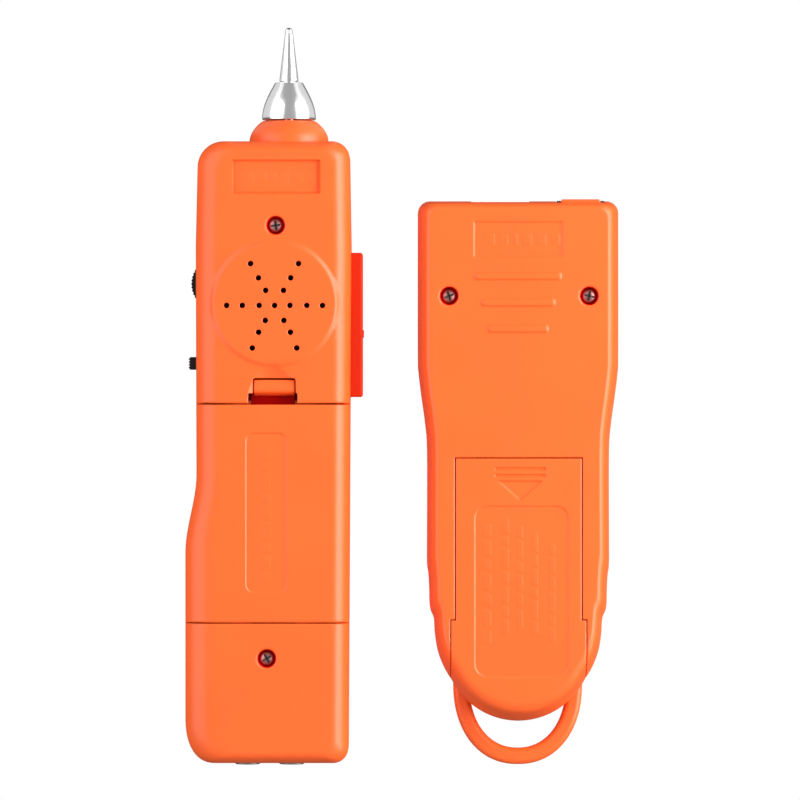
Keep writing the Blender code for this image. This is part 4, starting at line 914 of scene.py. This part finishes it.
def make_screws():
    for unit, kit, places, top, length, turns in (
            (PROBE, "probe_screw_", PROBE_SCREWS, 27.6, 17.0, {"upper": 8, "lower": 30}),
            (GEN, "generator_screw_", GEN_SCREWS, 25.6, 16.0, {"left": 20, "right": -12})):
        for (label, turn), place in zip(turns.items(), places):
            make_screw(kit + label, unit, place, top, length, turn)


def toothed(centre, radius, depth, teeth, z):
    """A knurled disc."""
    rim = []
    for angle in np.arange(teeth * 6) * 2 * math.pi / (teeth * 6):
        r = radius - depth * (0.5 - 0.5 * math.cos(angle * teeth)) ** 1.5
        rim.append((centre[0] + r * math.cos(angle), centre[1] + r * math.sin(angle)))
    return slab(PROBE, rim, z, 0.15, 2)


def make_controls():
    """The wheel, the two switches and the button."""
    wheel = merged(toothed(WHEEL, WHEEL_RADIUS, 0.25, 48, (10.3, 12.8)), rod(PROBE, WHEEL, 2.2, (12.5, 13.6)))
    show("probe_wheel", wheel, "probe_volume_wheel", "volume_wheel", "black_plastic")

    def ribbed(knob, unit, x, places, half, z, rounding):
        return merged(knob, *(block(unit, x, (y - half, y + half), z, rounding, 2) for y in places))
    y = SWITCH_Y
    knob = block(PROBE, (-23.75, -19.0), (y - 1.8, y + 1.8), (10.2, 12.2), 0.3)
    knob = ribbed(knob, PROBE, (-24.0, -23.6), [y - 1.2, y - 0.4, y + 0.4, y + 1.2], 0.22, (10.35, 12.05), 0.08)
    show("probe_switch", knob, "probe_mode_switch_knob", "probe_switch", "black_plastic")
    y = 96.0
    knob = block(GEN, (-2.4, 2.4), (y - 2.8, y + 2.8), (0.5, 3.1), 0.4)
    knob = ribbed(knob, GEN, (-2.0, 2.0), [y - 1.8, y - 0.9, y, y + 0.9, y + 1.8], 0.25, (0.2, 0.7), 0.1)
    show("generator_switch", knob, "generator_mode_switch_knob", "generator_switch", "black_plastic")

    cap = [(0, 3.3), (6.6, 3.3), (6.6, 2.4), (5.5, 2.4), (5.5, 0.7), (5.35, 0.35), (5.05, 0.17), (4.6, 0.15),
           (3.0, 0.35), (0, 0.45)]
    show("probe_button", turned(PROBE, cap, (*BUTTON, 0)), "probe_listen_button", "listen_button",
         "black_plastic")


def make_bezel():
    """The socket block on the probe's right side."""
    (y0, y1), (z0, z1), middle = SOCKET_Y, SOCKET_Z, sum(JACK_Z) / 2
    parts = [block(PROBE, (19.9, SOCKET_FACE), SOCKET_Y, SOCKET_Z, 0.7, 4),
             block(PROBE, (18.2, 19.1), (y0 - 0.6, y1 + 0.9), (z0 - 0.9, z1 + 0.9)),
             block(PROBE, (18.5, 21.0), (y0 + 0.6, y1 - 0.6), (z0 + 0.6, z1 - 0.6)),
             block(PROBE, (24.0, SOCKET_FACE + 0.3), (119.3, 121.5), (z0 + 4.5, z1 - 4.5), 0.25)]
    for part in parts:
        carve(part, *(block(PROBE, (10, 30), (y - wide, y + wide), (middle - tall, middle + tall))
                      for y, wide, tall in ((112.6, 5.9, 4.0), (133.0, 4.9, 3.7))))
    # The socket block is painted in the darker copy of the orange, as painted shade.
    show("probe_bezel", painted(merged(*parts), BEZEL_SHADE), "probe_socket_bezel")


def make_tail():
    """The nut of the earphone socket, and the torch with its bezel."""
    for cad_node, x, bore in (("probe_earphone_nut", EARPHONE_X, 1.85), ("probe_torch_bezel", TORCH_X, 2.75)):
        ring = [(bore, 2.4), (bore, -0.5), (bore + 0.2, -0.7), (3.3, -0.7), (3.55, -0.45), (3.6, -0.2),
                (3.6, 2.4)]
        show(cad_node, turned(PROBE, ring, (x, 0, PROBE_PARTING), "Y", 48), slot="steel")
    lens = [(0, -0.2)] + [(2.4 * math.sin(a), 1.4 - 1.6 * math.cos(a)) for a in np.radians(range(12, 91, 13))]
    lens += [(2.4, 6.4), (2.8, 6.4), (2.8, 7.4), (0, 7.4)]
    show("probe_torch", turned(PROBE, lens, (TORCH_X, 0, PROBE_PARTING), "Y", 48), "probe_torch_lamp",
         slot="clear_lens")


def make_battery(kit, unit, y_start, z_start, snap_y, snap_z):
    """A jacketed 9 V block with its two terminals, and the snap on them."""
    width, length, depth = BATTERY
    end, x, z = y_start + length, (-width / 2, width / 2), (z_start, z_start + depth)
    parts = [painted(block(unit, x, (y_start + 0.5, end - 13.0), z, 1.6, 5), JACKET),
             painted(block(unit, x, (end - 13.2, end - 0.5), z, 1.6, 5), COPPER),
             painted(block(unit, (x[0] + 0.5, x[1] - 0.5), (y_start, end), (z[0] + 0.5, z[1] - 0.5), 1.0), STEEL)]
    socket = [(0, 0.8), (2.6, 0.8), (2.6, 2.0), (3.0, 2.1), (3.9, 2.1), (4.2, 1.8), (4.2, -0.5), (0, -0.5)]
    stud = [(0, 2.1), (2.7, 2.1), (3.0, 1.8), (3.0, 1.3), (2.6, 0.8), (2.6, -0.5), (0, -0.5)]
    for place, profile in ((-6.35, socket), (6.35, stud)):
        parts.append(painted(turned(unit, profile, (place, end, z_start + depth / 2), "Y", 40), STEEL))
    show(kit + "_battery", merged(*parts), slot="battery_jacket")
    snap = block(unit, (-13.0, 13.0), (snap_y, snap_y + 3.4), (snap_z - 6.3, snap_z + 6.3), 1.3, 4)
    show(kit + "_battery_snap", snap, slot="black_plastic")


def make_label(kit, unit, film, band, span, bands, dots, ticks):
    """A dark panel film with plain printed marks: two bands, a row of dots, and ticks."""
    sheet = painted(slab(unit, rectangle((-film, film), span, 3.6), (0.38, 0.6)), FILM)
    marks = [((-band, band), y, BAND) for y in bands] + [((x - 1.3, x - 0.3), dots, PRINT) for x in LAMP_ROW]
    marks += [(x, y, PRINT) for x, y in ticks]
    prints = [painted(block(unit, x, y, (0.35, 0.45)), finish) for x, y, finish in marks]
    show(kit + "_front_label", merged(carve(sheet, *panel_cuts(unit)), *prints), slot="panel_film")


def make_fronts():
    """The printed panels and the lamps that show through them."""
    make_label("probe", PROBE, 15.1, 13.5, (104.9, 167.1), ((163.6, 165.2), (106.4, 107.6)), (146.0, 147.0),
               [((-12.0, -8.0), (127.0, 127.5)), ((8.0, 12.0), (127.0, 127.5))])
    make_label("generator", GEN, 20.6, 18.5, (82.4, 139.6), ((136.0, 137.6), (84.4, 85.6)), (134.0, 134.8),
               [((4.2, 6.6), (y - 0.25, y + 0.25)) for y in (92.0, 96.0, 100.0)])
    lens = [(0, 0.4), (0.8, 0.5), (1.3, 0.8), (1.5, 1.3), (1.5, 6.7), (0, 6.7)]
    for kit, unit, labels, places, y in (("probe", PROBE, ("signal",), PROBE_LAMPS, PROBE_ROW_Y),
                                         ("generator", GEN, ("tone", "test"), GEN_LAMPS, GEN_ROW_Y)):
        for label, place in zip(labels, places):
            show(f"{kit}_{label}_lamp", turned(unit, lens, (*place, 0), steps=40), slot="red_lens")
        row = [turned(unit, lens, (x, y, 0), steps=28) for x in LAMP_ROW]
        row.append(block(unit, (-12.0, 12.0), (y - 1.5, y + 1.5), (3.4, 6.7), 0.2))
        show(f"{kit}_line_lamps", merged(*row), slot="red_lens")


make_nose()
make_screws()
make_controls()
make_bezel()
make_tail()
make_battery("probe", PROBE, 43.0, 8.0, 91.9, 16.75)
make_battery("generator", GEN, 20.8, 6.8, 69.7, 15.55)
make_fronts()

# ---- CAD nodes that are shown as they are
PAIRED = {"circuit_board": BOARD, "mode_switch_body": STEEL, "rj45_jack": SOCKET_AND_SHADE, "rj11_jack": SOCKET_AND_SHADE,
          "rj45_contacts": GOLD, "rj11_contacts": GOLD, "lead_red": RED_WIRE, "lead_black": BLACK_WIRE}
SINGLE = {"probe_tail_board": BOARD, "probe_speaker": BLACK, "probe_earphone_jack": BLACK,
          "probe_tip_lead": RED_WIRE, "probe_volume_control": STEEL, "probe_button_switch": STEEL}
for cad_name, finish in {**{f"{kit}_{part}": finish for part, finish in PAIRED.items()
                            for kit in ("probe", "generator")}, **SINGLE}.items():
    painted(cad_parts[cad_name], finish)


# ---- Camera, floor and light
def add_camera():
    lens, sensor, width, level = 300.0, 36.0, 224.0, 25.0
    camera = placed("camera", bpy.data.cameras.new("camera"))
    camera.data.lens, camera.data.sensor_width = lens, sensor
    camera.data.clip_start, camera.data.clip_end = 0.05, 20.0
    camera.location = (-0.64 * MM, -1.17 * MM, (level + width * lens / sensor) * MM)
    SCENE.camera = camera


def area_light(name, place, size, power, colour=(1, 1, 1)):
    light = placed(name, bpy.data.lights.new(name, "AREA"))
    light.location = place
    light.data.shape, light.data.energy, light.data.color = "RECTANGLE", power, colour
    light.data.size, light.data.size_y = size
    return light


def add_light(name, place, size, power, colour):
    """A light that faces the object, its long side along y."""
    back = Vector(place).normalized()
    across = Vector((0, 1, 0)).cross(back).normalized()
    turn = Matrix((across, back.cross(across), back)).transposed().to_euler()
    area_light(name, place, size, power, colour).rotation_euler = turn


def add_card(side):
    """A white card beside the metal tip, upright and facing back along x, seen only in reflections."""
    size, radiance = (30 * MM, 50 * MM), 0.52
    place = (PROBE[0] + NOSE_X + side * 17.0, PROBE[1] + 206.0, PROBE_PARTING - 1.0)
    card = area_light("card", [v * MM for v in place], size, radiance * 4 * size[0] * size[1])
    card.rotation_euler = (0, math.radians(90 * side), 0)
    card.visible_diffuse = card.visible_camera = card.visible_transmission = False


def add_floor():
    """Burnt out to white where it is seen from above. From below, and to every other ray, it isn't there."""
    half = 3.0
    mesh = bpy.data.meshes.new("floor")
    corners = [(-half, -half, 0), (half, -half, 0), (half, half, 0), (-half, half, 0)]
    mesh.from_pydata(corners, [], [(0, 1, 2, 3)])
    floor = placed("floor", mesh)
    floor.location.z = -0.02 * MM
    paper = bpy.data.materials.new("paper")
    paper.use_nodes = True
    tree = paper.node_tree
    tree.nodes.remove(tree.nodes["Principled BSDF"])
    shown = node(tree, "Math", operation="GREATER_THAN", i0=node(tree, "LightPath").outputs["Is Camera Ray"],
                 i1=node(tree, "NewGeometry").outputs["Backfacing"]).outputs[0]
    mixed = node(tree, "MixShader", i0=shown, i1=node(tree, "BsdfTransparent").outputs[0],
                 i2=node(tree, "Emission").outputs[0])
    feed(tree, tree.nodes["Material Output"].inputs["Surface"], mixed.outputs[0])
    painted(floor, paper)


def add_world():
    """An even sky. Reflections find it dark below the horizon, as a table is beside the object."""
    SCENE.world = bpy.data.worlds.new("studio")
    SCENE.world.use_nodes = True
    tree = SCENE.world.node_tree
    height = node(tree, "SeparateXYZ", i0=node(tree, "TexCoord").outputs["Generated"]).outputs["Z"]
    below = node(tree, "Math", operation="LESS_THAN", i0=height, i1=0.0).outputs[0]
    dark = node(tree, "Math", operation="MULTIPLY", i0=below,
                i1=node(tree, "LightPath").outputs["Is Glossy Ray"]).outputs[0]
    sky = tree.nodes["Background"]
    sky.inputs["Color"].default_value = (1, 1, 1, 1)
    feed(tree, sky.inputs["Strength"], node(tree, "MapRange", Value=dark, To_Min=0.42, To_Max=0.1).outputs[0])


def add_studio():
    add_floor()
    add_world()
    add_light("key", (0.38, 0.11, 0.36), (0.20, 0.66), 3.4, (1.0, 0.98, 0.97))
    add_light("side", (0.55, 0.06, 0.18), (0.36, 0.8), 4.2, (1.0, 0.98, 0.96))
    add_light("fill", (-0.45, 0.10, 0.32), (0.56, 0.8), 2.8, (1.0, 0.98, 0.96))
    for side in (-1, 1):
        add_card(side)
    SCENE.view_settings.view_transform = "Standard"
    SCENE.view_settings.look = "None"


add_camera()
add_studio()
